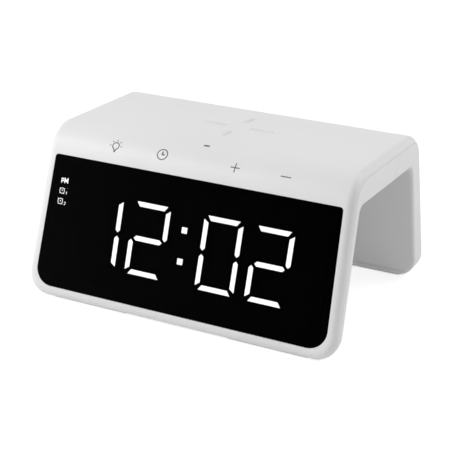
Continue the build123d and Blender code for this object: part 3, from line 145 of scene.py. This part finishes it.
def moulded_abs(name, dark, light, roughness, grain_mm=0.5, flow_mm=60, values=None):
    """Satin moulded plastic: slow flow shades in its colour, fine eroded grain in its gloss."""
    material, tree, place, shader = start_finish(name, {"IOR": ABS_IOR, **(values or {})})
    flow = add_node(tree, "ShaderNodeTexNoise",
                    {"Scale": per_metre(flow_mm), "Detail": 2.0}, {"Vector": place})
    grain = add_node(tree, "ShaderNodeTexNoise",
                     {"Scale": per_metre(grain_mm), "Detail": 3.0}, {"Vector": place})
    gloss = roughness - ABS_SPREAD, roughness + ABS_SPREAD
    lead(tree, shader, flow.outputs["Fac"], {"Base Color": (dark, light)})
    lead(tree, shader, grain.outputs["Fac"], numbers={"Roughness": gloss}, depth_mm=0.01)
    return material


white_abs = moulded_abs("white_moulded_abs", "ECECEC", "EFEFEF", 0.46)
wear(["outer_shell", "front_cover", "rear_cover"], white_abs)
wear(["battery_door"], moulded_abs("white_door_abs", "E9E9E8", "EDEDEC", 0.5, grain_mm=0.4))
wear(["coil_tray"], moulded_abs("grey_tray_abs", "8A8C8E", "939597", 0.5))

# %% [markdown]
# The front window is smoked acrylic. Dark dye in the sheet lets about a fortieth of the light
# through, so only the lit bars show and all that is behind goes black. A black opaque face with
# the bars painted on would look flat from the side, so the sheet is truly clear and tinted. Its
# face has a dark coat against reflections, which the specular tint gives: it takes the mirror
# image away from in front and leaves it at a flat angle. A long faint wave in the face stands for
# the moulded sheet.

# %% Smoked acrylic window
ACRYLIC_IOR = 1.49
WAVE_MM = 30
smoked_acrylic, tree, place, shader = start_finish("smoked_acrylic", {
    "Transmission Weight": 1.0, "Roughness": 0.0, "IOR": ACRYLIC_IOR,
    "Specular Tint": to_linear("161616")})
wave = add_node(tree, "ShaderNodeTexNoise",
                {"Scale": per_metre(WAVE_MM), "Detail": 1.0}, {"Vector": place})
lead(tree, shader, wave.outputs["Fac"], {"Base Color": ("2A2A2A", "2E2E2E")},
     depth_mm=0.01, strength=0.2)
wear(["display_lens"], smoked_acrylic)

# %% [markdown]
# Behind the window stands a black reflector with a hole for each bar, and in each hole a bar of
# clear resin with a smoked skin. A bar glows white when its lamp is on and sinks into the black
# when it is off. Both skins are matt and nearly black, so that no stray light shows round the lit
# bars. Their grain is finer than a tenth of a millimetre, and drawn at about half a millimetre.

# %% Reflector and resting bars
RESIN_IOR, SKIN_SPREAD = 1.5, 0.08


def matt_skin(name, dark, light, roughness, grain_mm, gloss=0.5):
    """Matt moulding or coating, with a fine grain in its colour and its gloss."""
    material, tree, place, shader = start_finish(
        name, {"IOR": RESIN_IOR, "Specular IOR Level": gloss})
    grain = add_node(tree, "ShaderNodeTexNoise",
                     {"Scale": per_metre(grain_mm), "Detail": 4.0}, {"Vector": place})
    ends = roughness - SKIN_SPREAD, roughness + SKIN_SPREAD
    lead(tree, shader, grain.outputs["Fac"], {"Base Color": (dark, light)}, {"Roughness": ends},
         depth_mm=0.02)
    return material


digit_nodes = ["hour_tens_segments", "hour_ones_segments",
               "minute_tens_segments", "minute_ones_segments"]
reflector_abs = matt_skin("black_reflector_abs", "050505", "090909", 0.7, 0.4, gloss=0.15)
resting_bar = matt_skin("smoked_resin_bar", "070707", "0B0B0B", 0.55, 0.5, gloss=0.15)
wear(["digit_reflector"], reflector_abs)
wear([*digit_nodes, "colon_dots", "status_icons"], resting_bar)

# %% [markdown]
# A lit bar gives its own light, as much as the window swallows and a little more, so that it
# reaches the eye as full white. A lamp behind each bar would need far more samples to look as
# even. The small signs have a lamp each to themselves and glow more. The lamp makes a bar
# slightly whiter in its middle, which a soft noise in the glow's colour stands for.

# %% Glowing resin
BAR_GLOW, SIGN_GLOW = 46.0, 60.0
SPOT_MM = 4


def glowing_resin(name, glow):
    """Resin lit from behind: white light, a trace cooler and warmer from place to place."""
    material, tree, place, shader = start_finish(
        name, {"Emission Strength": glow, "Roughness": 0.5, "IOR": RESIN_IOR})
    spots = add_node(tree, "ShaderNodeTexNoise",
                     {"Scale": per_metre(SPOT_MM), "Detail": 1.0}, {"Vector": place})
    lead(tree, shader, spots.outputs["Fac"],
         {"Emission Color": ("F7F9FC", "FFFDF8"), "Base Color": ("DADADA", "E4E4E4")})
    print(name, "glows at", glow)
    return material


lit_resin = glowing_resin("lit_resin", BAR_GLOW)
lit_sign_resin = glowing_resin("lit_sign_resin", SIGN_GLOW)

# %% [markdown]
# The front face leans back. Its plane could be typed in as numbers, but it is safer to read it
# from the window itself: the outward normal of the largest face gives the lean, and the box gives
# the place. Signs and bars are then placed by x, by the length up the slope from the window's
# lower edge, and by the depth behind the face.

# %% The leaning front as a drawing board
window = max(nodes["display_lens"].data.polygons, key=lambda face: -face.normal.y * face.area)
front_out = window.normal.normalized()
front_up = Vector((0, front_out.z, -front_out.y))
window_points = [v.co for v in nodes["display_lens"].data.vertices]
board_origin = front_out * max(co @ front_out for co in window_points)
board_origin += front_up * min(co @ front_up for co in window_points)


def on_board(x, up, out):
    """Point on the front, in mm: across, up from the window's lower edge, out of the face."""
    return board_origin + (Vector((x, 0, 0)) + front_up * up + front_out * out) * MM


def board_place(point):
    """Place (across, up the slope) in millimetres of a point near the front."""
    return point.x / MM, (point - board_origin) @ front_up / MM


lean = 90 - front_out.angle(Vector((0, 0, 1))) * 180 / pi
print("front leans", round(lean, 2), "degrees; window from",
      [round(c / MM, 2) for c in board_origin])

# %% [markdown]
# The seven bars of a digit have one-letter names in every data sheet: a on top, then b to f
# clockwise, and g in the middle. One solid holds all seven, and cutting it up would break with
# the frame, so a bar is told by where each face lies: the face goes to the bar whose middle line
# is nearest.

# %% The bars of a digit
# Shares of a digit's size: from its box to a middle line, and from a corner to a bar's end
BAR_INSET, BAR_GAP = 0.064, 0.12


def bar_lines(low, high):
    """Middle lines of the seven bars of a digit whose box runs from low to high on the board."""
    (left, bottom), (right, top) = low, high
    level = (bottom + top) / 2
    inset = min(right - left, top - bottom) * BAR_INSET
    left, right, bottom, top = left + inset, right - inset, bottom + inset, top - inset
    short = (right - left) * BAR_GAP
    tall = (top - bottom) / 2 * BAR_GAP
    return {
        "a": ((left + short, top), (right - short, top)),
        "b": ((right, level + tall), (right, top - tall)),
        "c": ((right, bottom + tall), (right, level - tall)),
        "d": ((left + short, bottom), (right - short, bottom)),
        "e": ((left, bottom + tall), (left, level - tall)),
        "f": ((left, level + tall), (left, top - tall)),
        "g": ((left + short, level), (right - short, level)),
    }


def distance_to(line, place):
    """Distance of a place on the board from a middle line."""
    start, end, here = (Vector(p).to_2d() for p in (*line, place))
    along = end - start
    share = max(0.0, min(1.0, (here - start) @ along / along.length_squared))
    return (here - start - share * along).length


print("bars of a digit:", ", ".join(bar_lines((0, 0), (1, 2))))

# %% [markdown]
# Each digit shows a few of its bars: 1 is b and c, 2 is a, b, g, e and d, 0 is all but g. The
# faces of those bars take a second material slot with the glowing resin, and the others keep the
# first one. The two dots of the colon stay lit.

# %% Light the time
SHOWN_BARS = {"1": "bc", "2": "abged", "0": "abcdef"}
SHOWN_TIME = "1202"


def light_bars(node_name, digit):
    """Give the faces of a digit's shown bars the glowing resin."""
    mesh = nodes[node_name].data
    mesh.materials.append(lit_resin)
    places = [board_place(v.co) for v in mesh.vertices]
    low = min(p[0] for p in places), min(p[1] for p in places)
    high = max(p[0] for p in places), max(p[1] for p in places)
    lines = bar_lines(low, high)
    lit = 0
    for face in mesh.polygons:
        here = board_place(face.center)
        bar = min(lines, key=lambda name: distance_to(lines[name], here))
        face.material_index = 1 if bar in SHOWN_BARS[digit] else 0
        lit += face.material_index
    print(node_name, "shows", digit, "with", lit, "lit faces of", len(mesh.polygons))


for node_name, digit in zip(digit_nodes, SHOWN_TIME):
    light_bars(node_name, digit)
nodes["colon_dots"].data.materials[0] = lit_resin

# %% [markdown]
# Signs are drawn as pen strokes: a row of points with a width. A text object would bring the
# shapes of one typeface, and a curve with a bevel has round sides, so the strokes are worked out
# here. The helper offsets the points to both sides, with mitred corners, and cuts long runs short
# so that a stroke can lie on a rounded surface. All drawings are in millimetres.

# %% Pen strokes
RUN_MM = 0.5
SHARPEST_MITRE = 0.4


def stroke(points, width, closed=False):
    """Quads of a pen stroke through the points, with mitred corners."""
    rows = list(points) + ([points[0]] if closed else [])
    path = []
    for start, end in zip(rows, rows[1:]):
        start, end = Vector(start), Vector(end)
        count = max(1, int((end - start).length / RUN_MM))
        path += [start.lerp(end, step / count) for step in range(count)]
    if not closed:
        path.append(Vector(rows[-1]))
    sides = []
    for at, here in enumerate(path):
        before = path[at - 1] if at or closed else None
        after = path[(at + 1) % len(path)] if at + 1 < len(path) or closed else None
        runs = [(here - before).normalized()] if before else []
        runs += [(after - here).normalized()] if after else []
        normals = [Vector((-run.y, run.x)) for run in runs]
        across = sum(normals, Vector((0, 0))).normalized()
        across *= width / 2 / max(SHARPEST_MITRE, across @ normals[0])
        sides.append((here + across, here - across))
    pairs = list(zip(sides, sides[1:])) + ([(sides[-1], sides[0])] if closed else [])
    return [(a, b, c, d) for (a, b), (d, c) in pairs]


def arc(radius, start, end, steps=32):
    """Points of an arc, its angles in degrees from the right, counter-clockwise."""
    turn = [radians(start + (end - start) * step / steps) for step in range(steps + 1)]
    return [(radius * cos(a), radius * sin(a)) for a in turn]


def spoke(angle, reach):
    """Two points of a line that runs outwards at an angle in degrees."""
    return [(r * cos(radians(angle)), r * sin(radians(angle))) for r in reach]


print("a stroke of 5 mm has", len(stroke([(0, 0), (5, 0)], RUN_MM)), "quads")

# %% [markdown]
# The four touch keys are only printed signs on the rounded edge: a bulb for the night light, a
# clock for setting the time, plus and minus. The ink is a thin grey film, half matt, with specks
# finer than the 0.4 mm that they are drawn at. A flat decal would cut through the curve, so each
# stroke is bent round the edge's own axis, a few hundredths of a millimetre proud.

# %% Key ink, and the rounded edge as a drawing board
# Radius and axis of the edge's rounding, and the slope at which the row of keys faces out
KEY_RADIUS = 15.0
KEY_AXIS = Vector((0, -20.124, 62.864))
KEY_TILT = radians(55.75)
key_out = Vector((0, -cos(KEY_TILT), sin(KEY_TILT)))
key_up = Vector((0, sin(KEY_TILT), cos(KEY_TILT)))
SIGN_LEVEL = -3.5
INK_SPECK_MM = 0.4

ink, tree, place, shader = start_finish("grey_key_ink")
film = add_node(tree, "ShaderNodeTexNoise",
                {"Scale": per_metre(INK_SPECK_MM), "Detail": 2.0}, {"Vector": place})
lead(tree, shader, film.outputs["Fac"], {"Base Color": ("555555", "5F5F5F")},
     {"Roughness": (0.42, 0.58)})


def key_surface(middle):
    """Mapping from a sign's own drawing to the rounded edge, about a place along the edge."""
    def to_surface(x, up, height):
        turn = (SIGN_LEVEL + up) / KEY_RADIUS
        out = key_out * cos(turn) + key_up * sin(turn)
        return (KEY_AXIS + out * (KEY_RADIUS + height) + Vector((middle + x, 0, 0))) * MM
    return to_surface


print("middle of the row of keys, m:", [round(c, 4) for c in key_surface(0)(0, 0, 0)])

# %% [markdown]
# Each sign is drawn about its own middle. Strokes of one sign meet edge to edge or stay apart,
# because strokes that cross would leave faces inside each other.

# %% Draw the key signs
PEN, FINE_PEN, HAND_PEN = 0.48, 0.4, 0.6
PLUS_REACH, MINUS_REACH = 2.25, 2.4


def bulb_strokes(radius=1.65, neck=(0.5, -2.2), foot=(0.4, -2.8), ray=(2.45, 3.15)):
    """Bulb outline closed by its neck, a foot under it and five rays."""
    (neck_half, neck_level), (foot_half, foot_level) = neck, foot
    glass = [(-neck_half, neck_level), *arc(radius, 250, -70), (neck_half, neck_level)]
    quads = stroke(glass, PEN, closed=True)
    quads += stroke([(-foot_half, foot_level), (foot_half, foot_level)], HAND_PEN)
    for angle in (0, 45, 90, 135, 180):
        quads += stroke(spoke(angle, ray), FINE_PEN)
    return quads


def clock_strokes(radius=2.5, hands=((-0.1, 1.5), (-0.1, -0.1), (1.2, -0.1))):
    """Ring with two bold hands, to twelve and to three."""
    return stroke(arc(radius, 0, 360)[:-1], PEN, closed=True) + stroke(hands, HAND_PEN)


def plus_strokes():
    """Four arms round a square middle."""
    arms = [(PEN / 2, 0), (0, PEN / 2), (-PEN / 2, 0), (0, -PEN / 2)]
    middle = [tuple(Vector((x + y, y - x)) for x, y in arms)]
    reach = PLUS_REACH / (PEN / 2)
    rays = [[(x, y), (x * reach, y * reach)] for x, y in arms]
    return middle + [quad for ray in rays for quad in stroke(ray, PEN)]


# Place along the edge, and strokes
key_signs = {
    "key_sign_bulb": (-42.2, bulb_strokes()),
    "key_sign_clock": (-17.5, clock_strokes()),
    "key_sign_plus": (19.4, plus_strokes()),
    "key_sign_minus": (44.1, stroke([(-MINUS_REACH, 0), (MINUS_REACH, 0)], PEN)),
}
print("quads of the signs:", {name: len(quads) for name, (middle, quads) in key_signs.items()})

# %% [markdown]
# A sign could be a bare sheet of quads, but a sheet has no inside, and its mesh file would be
# open. So the quads are raised between two heights, and walls are added along the edges that only
# one quad has: a closed thin solid that rides the clock's body.

# %% Lay the signs on the edge
INK_SUNK, INK_PROUD = -0.02, 0.03
WELD_DIGITS = 4


def thin_solid(name, quads, to_surface, low, high, material):
    """A closed thin piece: flat quads raised between two heights and laid on a surface."""
    corners, loops = {}, []
    for quad in quads:
        welded = [(round(p.x, WELD_DIGITS), round(p.y, WELD_DIGITS)) for p in quad]
        loops.append([corners.setdefault(p, len(corners)) for p in welded])
    flat = list(corners)
    count = len(flat)
    verts = [to_surface(x, y, height) for height in (low, high) for x, y in flat]
    edges = {(loop[i], loop[(i + 1) % len(loop)]) for loop in loops for i in range(len(loop))}
    rim = [(a, b) for a, b in edges if (b, a) not in edges]
    faces = [loop[::-1] for loop in loops] + [[i + count for i in loop] for loop in loops]
    faces += [[a, b, b + count, a + count] for a, b in sorted(rim)]
    mesh = bpy.data.meshes.new(name)
    mesh.from_pydata(verts, [], faces)
    mesh.validate()
    mesh.update()
    mesh.materials.append(material)
    piece = bpy.data.objects.new(name, mesh)
    bpy.context.scene.collection.objects.link(piece)
    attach(piece, "clock")
    print(name, "has", len(faces), "faces, box mm:", [round(d / MM, 2) for d in piece.dimensions])


for name, (middle, quads) in key_signs.items():
    thin_solid(name, quads, key_surface(middle), INK_SUNK, INK_PROUD, ink)

# %% [markdown]
# At the left of the window small signs say that it is past noon and that two alarms are set. On
# the real display a black mask covers three lamps and leaves sign-shaped gaps. The solids behind
# are those three blocks. A mask cut into such gaps would need many tiny faces, so the gaps are
# drawn as thin glowing strokes on the blocks' front, in the narrow air space behind the window.

# %% Draw the lit signs
HEAVY, BOLD, HANDS, LINE, FINE = 0.42, 0.34, 0.24, 0.2, 0.15
SMALL_NUMBERS = {
    1: [(-0.25, 1.0), (0.1, 1.3), (0.1, 0)],
    2: [(-0.375, 1.1), (0.1, 1.3), (0.375, 0.85), (-0.375, 0), (0.375, 0)],
}


def moved(quads, x, up):
    """Strokes moved across and up."""
    return [tuple(p + Vector((x, up)) for p in quad) for quad in quads]


def afternoon_strokes(p_wide=1.2, m_start=1.75, m_wide=1.6, m_dip=0.35, height=2.3):
    """The letters P and M, each one bold stroke."""
    half = BOLD / 2
    far, upper, lower = p_wide - half, height - half, height / 2 - half
    letter_p = stroke([(0, 0), (0, upper), (far, upper), (far, lower), (half, lower)], BOLD)
    letter_m = stroke([(0, 0), (0, height), (m_wide / 2, height * m_dip), (m_wide, height),
                       (m_wide, 0)], HEAVY)
    return letter_p + moved(letter_m, m_start, 0)


def alarm_strokes(radius=1.3, hands=((0, 0.5), (0, 0), (0.4, 0)), knob=(1.5, 1.85)):
    """Alarm clock sign: ring, hands, two bells and two feet."""
    quads = stroke(arc(radius, 0, 360)[:-1], LINE, closed=True) + stroke(hands, HANDS)
    for angle in (42, 138, -48, -132):
        quads += stroke(spoke(angle, knob), LINE)
    return quads


def alarm_sign(number, sign_place, number_place):
    """An alarm clock and its small number, each at its place on the board."""
    return (moved(alarm_strokes(), *sign_place)
            + moved(stroke(SMALL_NUMBERS[number], FINE), *number_place))


status_signs = {
    "afternoon_sign": moved(afternoon_strokes(), -68.5, 49.1),
    "first_alarm_sign": alarm_sign(1, (-67.55, 45.4), (-65.1, 43.9)),
    "second_alarm_sign": alarm_sign(2, (-67.8, 40.4), (-65.2, 39.1)),
}
MASK_FACE, SIGN_SUNK, SIGN_PROUD = -1.6, -0.02, 0.05
SIGN_BACK, SIGN_FACE = MASK_FACE + SIGN_SUNK, MASK_FACE + SIGN_PROUD
for name, quads in status_signs.items():
    thin_solid(name, quads, on_board, SIGN_BACK, SIGN_FACE, lit_sign_resin)

# %% [markdown]
# The window lies on a white ledge of the case. On the real one a black band is printed round the
# back of the sheet and over its edges, so that the ledge does not shine through. Without it the
# window would have a grey frame. The ink is matt and swallows nearly all light. The band could be
# a pattern in the acrylic, but a clear sheet shows its back through its face, so it is a thin
# ring just inside the back of the sheet, from the window's own outline inwards, and the sheet's
# narrow edge faces take the same ink.

# %% Black border print of the window
BAND_WIDTH = 3.3
BAND_BACK, BAND_FACE = -1.48, -1.42
FACE_SLACK = 0.1
EDGE_TURN = 0.5

black_ink = matt_skin("black_border_ink", "040404", "070707", 0.6, 0.4, gloss=0.1)
face_points = {board_place(co) for co in window_points
               if abs((co - board_origin) @ front_out) < FACE_SLACK * MM}
half_high = max(up for x, up in face_points) / 2
half_wide = max(x for x, up in face_points)
centre = Vector((0, half_high))
outline = sorted((Vector(p) - centre for p in face_points),
                 key=lambda p: Vector((1, 0)).angle_signed(p))
shrink = Vector((1 - BAND_WIDTH / half_wide, 1 - BAND_WIDTH / half_high))
rows = [(centre + p, centre + p * shrink) for p in reversed(outline)]
band = [(a, d, c, b) for (a, b), (d, c) in zip(rows, rows[1:] + rows[:1])]
thin_solid("window_border_print", band, on_board, BAND_BACK, BAND_FACE, black_ink)

pane = nodes["display_lens"].data
pane.materials.append(black_ink)
for face in pane.polygons:
    face.material_index = 1 if abs(face.normal @ front_out) < EDGE_TURN else 0
print("window outline has", len(outline), "points; inked edge faces:",
      sum(face.material_index for face in pane.polygons))

# %% [markdown]
# A phone rests on four small silicone ribs round the charging place. Cast silicone has a softer
# gloss than ABS. The feet are a pale, dull rubber. The charge mark in front of the ribs is the
# end of a smoked light pipe: a dark grey dash until its lamp is on. The night light under the top
# shines through opal polycarbonate, which spreads light inside itself: scattering under the skin
# gives it a milky depth that plain white would not have.

# %% Silicone, rubber, light pipe and opal
OPAL_SPREAD_MM = 1.5
silicone = moulded_abs("cast_white_silicone", "E4E4E4", "E9E9E9", 0.62, grain_mm=0.6, flow_mm=12)
opal = moulded_abs("opal_polycarbonate", "F1F1EE", "F6F6F3", 0.5, values={
    "Subsurface Weight": 0.5, "Subsurface Radius": (OPAL_SPREAD_MM * MM,) * 3})
wear(["grip_ribs"], silicone)
wear(["front_feet", "rear_feet"], matt_skin("pale_foot_rubber", "CBCBC9", "D4D4D2", 0.8, 0.5))
wear(["charge_light_pipe"], matt_skin("smoked_light_pipe", "3E3E3E", "464646", 0.4, 1.0))
wear(["night_light_diffuser"], opal)

# %% [markdown]
# Bare metals show at the back: the drawn, nickel plated shell of the power socket, and the screws
# under the top. The others are inside: the cell, its brass spring and the wound copper coil.
# Metal has no colour under its reflection, so the base colour is the reflection's own. A drawn or
# turned part carries fine streaks along the way the tool went, which pull its highlights out. A
# noise that is stretched along the same axis gives them. Real streaks are a few hundredths of a
# millimetre wide, and are drawn ten times coarser here so that they can show.

# %% Metals
STREAK_STRETCH = 12.0
METAL_SPREAD = 0.07


def streaked_metal(name, dark, light, roughness, streak_mm, along):
    """Metal with streaks that run along an axis, shown in its gloss more than in its colour."""
    material, tree, place, shader = start_finish(name, {"Metallic": 1.0})
    stretch = [1.0 if axis in along else STREAK_STRETCH for axis in "xyz"]
    drawn = add_node(tree, "ShaderNodeMapping", {"Scale": stretch}, {"Vector": place})
    streak = add_node(tree, "ShaderNodeTexNoise",
                      {"Scale": per_metre(streak_mm * STREAK_STRETCH), "Detail": 4.0},
                      {"Vector": drawn.outputs["Vector"]})
    gloss = roughness - METAL_SPREAD, roughness + METAL_SPREAD
    lead(tree, shader, streak.outputs["Fac"], {"Base Color": (dark, light)}, {"Roughness": gloss},
         depth_mm=0.004)
    return material


screw_steel = streaked_metal("zinc_plated_steel", "A6A8AB", "B8BABD", 0.36, 0.3, "z")
wear(["power_inlet"], streaked_metal("drawn_nickel_steel", "B5B3AE", "C4C2BD", 0.3, 0.3, "y"))
wear(["cover_screws", "board_screws"], screw_steel)
wear(["coin_cell"], streaked_metal("stainless_cell_steel", "BEBFC0", "CDCECF", 0.27, 0.4, "x"))
wear(["cell_contact"], streaked_metal("spring_brass", "BE9A4C", "CBA85A", 0.32, 0.4, "x"))
wear(["charging_coil"], streaked_metal("enamelled_copper", "A4562A", "BA6A38", 0.34, 0.3, "x"))

# %% [markdown]
# Circuit boards are glass epoxy under a coloured lacquer, green or black, with an even gloss.
# Copper tracks below the lacquer show as paler lines that stand a few hundredths proud. A brick
# pattern with thin, paler joints gives such straight tracks without drawing each one. Track
# spacing is about 1.2 mm.

# %% Circuit boards
TRACK_MM = 1.2


def lacquered_board(name, lacquer, deep, track):
    """Glass epoxy board with tracks that show through its lacquer."""
    material, tree, place, shader = start_finish(name, {"IOR": RESIN_IOR})
    tracks = add_node(tree, "ShaderNodeTexBrick", {
        "Scale": per_metre(TRACK_MM), "Mortar Size": 0.12, "Mortar Smooth": 0.3,
        "Brick Width": 3.5, "Row Height": 1.0, "Color1": to_linear(lacquer),
        "Color2": to_linear(deep), "Mortar": to_linear(track)}, {"Vector": place})
    tree.links.new(tracks.outputs["Color"], shader.inputs["Base Color"])
    lead(tree, shader, tracks.outputs["Fac"], numbers={"Roughness": (0.34, 0.24)}, depth_mm=0.03)
    return material


green_boards = ["main_board", "touch_board", "night_light_board", "inlet_board", "contact_board"]
wear(green_boards, lacquered_board("green_lacquer_board", "1B5A38", "174F31", "2F7A4E"))
wear(["display_board"], lacquered_board("black_lacquer_board", "101113", "0D0E10", "1A1C1F"))

# %% [markdown]
# The rest hides inside the case. Sintered ferrite behind the coil is dull dark grey. Moulded chip
# epoxy and the buzzer's housing are black and half matt, the foam under the keys swallows light,
# and the lamp bodies are a creamy, half glossy white. They share the matt skin from above. The
# flat cables are polyester, smooth and half glossy, with tinned conductors that show as stripes
# at a 1 mm pitch. A wave pattern across the cables gives these without drawing each one.

# %% Inner finishes
wear(["coil_ferrite"], matt_skin("sintered_ferrite", "35363A", "424347", 0.55, 0.6))
chip_epoxy = matt_skin("moulded_chip_epoxy", "141414", "1C1C1C", 0.5, 0.4)
wear(["control_chips", "inlet_tongue"], chip_epoxy)
wear(["buzzer"], matt_skin("buzzer_housing_black", "111112", "18181A", 0.45, 0.5))
wear(["touch_pads"], matt_skin("grey_key_foam", "6C6E70", "7C7E80", 0.9, 0.9))
lamp_white = matt_skin("lamp_body_white", "E2DCC6", "EDE8D6", 0.45, 0.5)
wear(["segment_leds", "night_light_leds", "charge_led"], lamp_white)

CONDUCTOR_PITCH_MM = 1.0
BANDS_PER_UNIT = 20 / (2 * pi)
cable, tree, place, shader = start_finish("flat_polyester_cable", {"Roughness": 0.35})
stripes = add_node(tree, "ShaderNodeTexWave",
                   {"Scale": per_metre(CONDUCTOR_PITCH_MM) / BANDS_PER_UNIT},
                   {"Vector": place}, bands_direction="X")
lead(tree, shader, stripes.outputs["Fac"], {"Base Color": ("9DA2A8", "DCDDDC")}, depth_mm=0.05)
wear(["display_ribbon", "power_ribbon", "battery_ribbon"], cable)

# %% [markdown]
# The studio is a pale floor without an edge under an even white sky. Both are plain white to the
# eye, and to mirrors and glass. A full white sky would also light the clock from all around and
# take every shade from the white plastic, so for all other light the sky stays at about a third.
# The light path tells the two kinds of rays apart.

# %% White sky
SKY_LIGHT = 0.35


def seen_directly(tree):
    """1 for rays from the eye, from mirrors and through glass, else 0."""
    path = add_node(tree, "ShaderNodeLightPath")
    seen = path.outputs["Is Camera Ray"]
    for kind in ("Is Glossy Ray", "Is Transmission Ray"):
        either = add_node(tree, "ShaderNodeMath", links={0: seen, 1: path.outputs[kind]},
                          operation="MAXIMUM")
        seen = either.outputs[0]
    return seen


world = bpy.data.worlds.new("white_studio")
bpy.context.scene.world = world
world.use_nodes = True
tree = world.node_tree
tree.nodes.clear()
lighting = add_node(tree, "ShaderNodeBackground", {"Color": WHITE, "Strength": SKY_LIGHT})
backdrop = add_node(tree, "ShaderNodeBackground", {"Color": WHITE, "Strength": 1.0})
sky = add_node(tree, "ShaderNodeMixShader",
               links={0: seen_directly(tree), 1: lighting.outputs[0], 2: backdrop.outputs[0]})
add_node(tree, "ShaderNodeOutputWorld", links={"Surface": sky.outputs[0]})
print(world.name, "lights at", SKY_LIGHT, "and shows as 1")

# %% [markdown]
# The floor is matt pale paper. Lit only by the lamps it would be grey, and as a plain glow it
# would lose the clock's shadow. So it adds most of its white as its own light to what the eye
# sees, and the rest by the light that falls on it: the clock keeps a pale shadow where it stands.
# For all other light it is simply paper, which sends light up under the arch.

# %% Pale floor
PAPER_BOUNCE, PAPER_SHADE, PAPER_GLOW = "F2F2F2", "A6A6A6", 0.8
FLOOR_REACH = 3.0
FLOOR_BELOW = 0.05

paper = bpy.data.materials.new("pale_floor_paper")
paper.use_nodes = True
tree = paper.node_tree
tree.nodes.clear()
bounce = add_node(tree, "ShaderNodeBsdfDiffuse", {"Color": to_linear(PAPER_BOUNCE)})
shaded = add_node(tree, "ShaderNodeBsdfDiffuse", {"Color": to_linear(PAPER_SHADE)})
own_white = add_node(tree, "ShaderNodeEmission", {"Color": WHITE, "Strength": PAPER_GLOW})
shown = add_node(tree, "ShaderNodeAddShader", links={0: shaded.outputs[0], 1: own_white.outputs[0]})
floor_mix = add_node(tree, "ShaderNodeMixShader",
                     links={0: seen_directly(tree), 1: bounce.outputs[0], 2: shown.outputs[0]})
add_node(tree, "ShaderNodeOutputMaterial", links={"Surface": floor_mix.outputs[0]})

floor_mesh = bpy.data.meshes.new("studio_floor")
floor_corners = [(x * FLOOR_REACH, y * FLOOR_REACH, -FLOOR_BELOW * MM)
                 for x, y in ((-1, -1), (1, -1), (1, 1), (-1, 1))]
floor_mesh.from_pydata(floor_corners, [], [(0, 1, 2, 3)])
floor_mesh.materials.append(paper)
floor = bpy.data.objects.new("studio_floor", floor_mesh)
bpy.context.scene.collection.objects.link(floor)
print(paper.name, "on a floor of", 2 * FLOOR_REACH, "m")

# %% [markdown]
# Two soft lamps face each other across the clock: one in front at the left, and one behind at the
# right, which brings out the rounded edge between the top and the side. Bare bulbs would draw
# hard shadows. Square lamps of about half a metre stand for soft boxes, and they shine at a plain
# level, at which a colour shows about as it is written.

# %% Two soft lamps
# Place and side in metres, power in watts
LAMPS = {
    "main_lamp": (Vector((-0.68, -0.54, 0.54)), 0.55, 5.8),
    "rear_lamp": (Vector((0.68, 0.50, 0.75)), 0.55, 4.5),
}
for name, (lamp_place, side, watts) in LAMPS.items():
    lamp_data = bpy.data.lights.new(name, "AREA")
    lamp_data.shape, lamp_data.size, lamp_data.energy = "SQUARE", side, watts
    lamp = bpy.data.objects.new(name, lamp_data)
    lamp.location = lamp_place
    lamp.rotation_mode = "QUATERNION"
    lamp.rotation_quaternion = (-lamp_place).to_track_quat("-Z", "Y")
    bpy.context.scene.collection.objects.link(lamp)
    print(name, round(lamp_place.length, 2), "m away,", watts, "W")

# %% [markdown]
# The camera stands to the right and above, far enough for a long lens, so that upright edges stay
# nearly parallel. It could be aimed at a point with a constraint. Here its turn is built from two
# angles, round the clock and above the table, because these can be read from a picture's edges.

# %% Camera
CAMERA_ROUND, CAMERA_ABOVE = radians(27.5132), radians(23.1658)
CAMERA_PLACE = Vector((267.48, -516.21, 278.17)) * MM
LENS_MM, SENSOR_MM = 105.254, 36.0
NEAREST, FARTHEST = 0.01, 50.0
camera_right = Vector((cos(CAMERA_ROUND), sin(CAMERA_ROUND), 0))
camera_back = Vector((sin(CAMERA_ROUND) * cos(CAMERA_ABOVE),
                      -cos(CAMERA_ROUND) * cos(CAMERA_ABOVE), sin(CAMERA_ABOVE)))
camera_up = camera_back.cross(camera_right)
camera_data = bpy.data.cameras.new("studio_camera")
camera_data.sensor_fit = "HORIZONTAL"
camera_data.sensor_width = SENSOR_MM
camera_data.lens = LENS_MM
camera_data.clip_start, camera_data.clip_end = NEAREST, FARTHEST
camera = bpy.data.objects.new("studio_camera", camera_data)
turn = Matrix((camera_right, camera_up, camera_back)).transposed()
camera.matrix_world = Matrix.Translation(CAMERA_PLACE) @ turn.to_4x4()
bpy.context.scene.collection.objects.link(camera)
bpy.context.scene.camera = camera
bpy.context.scene.view_settings.view_transform = "Standard"
print("camera", round(CAMERA_PLACE.length, 3), "m from the table's middle")
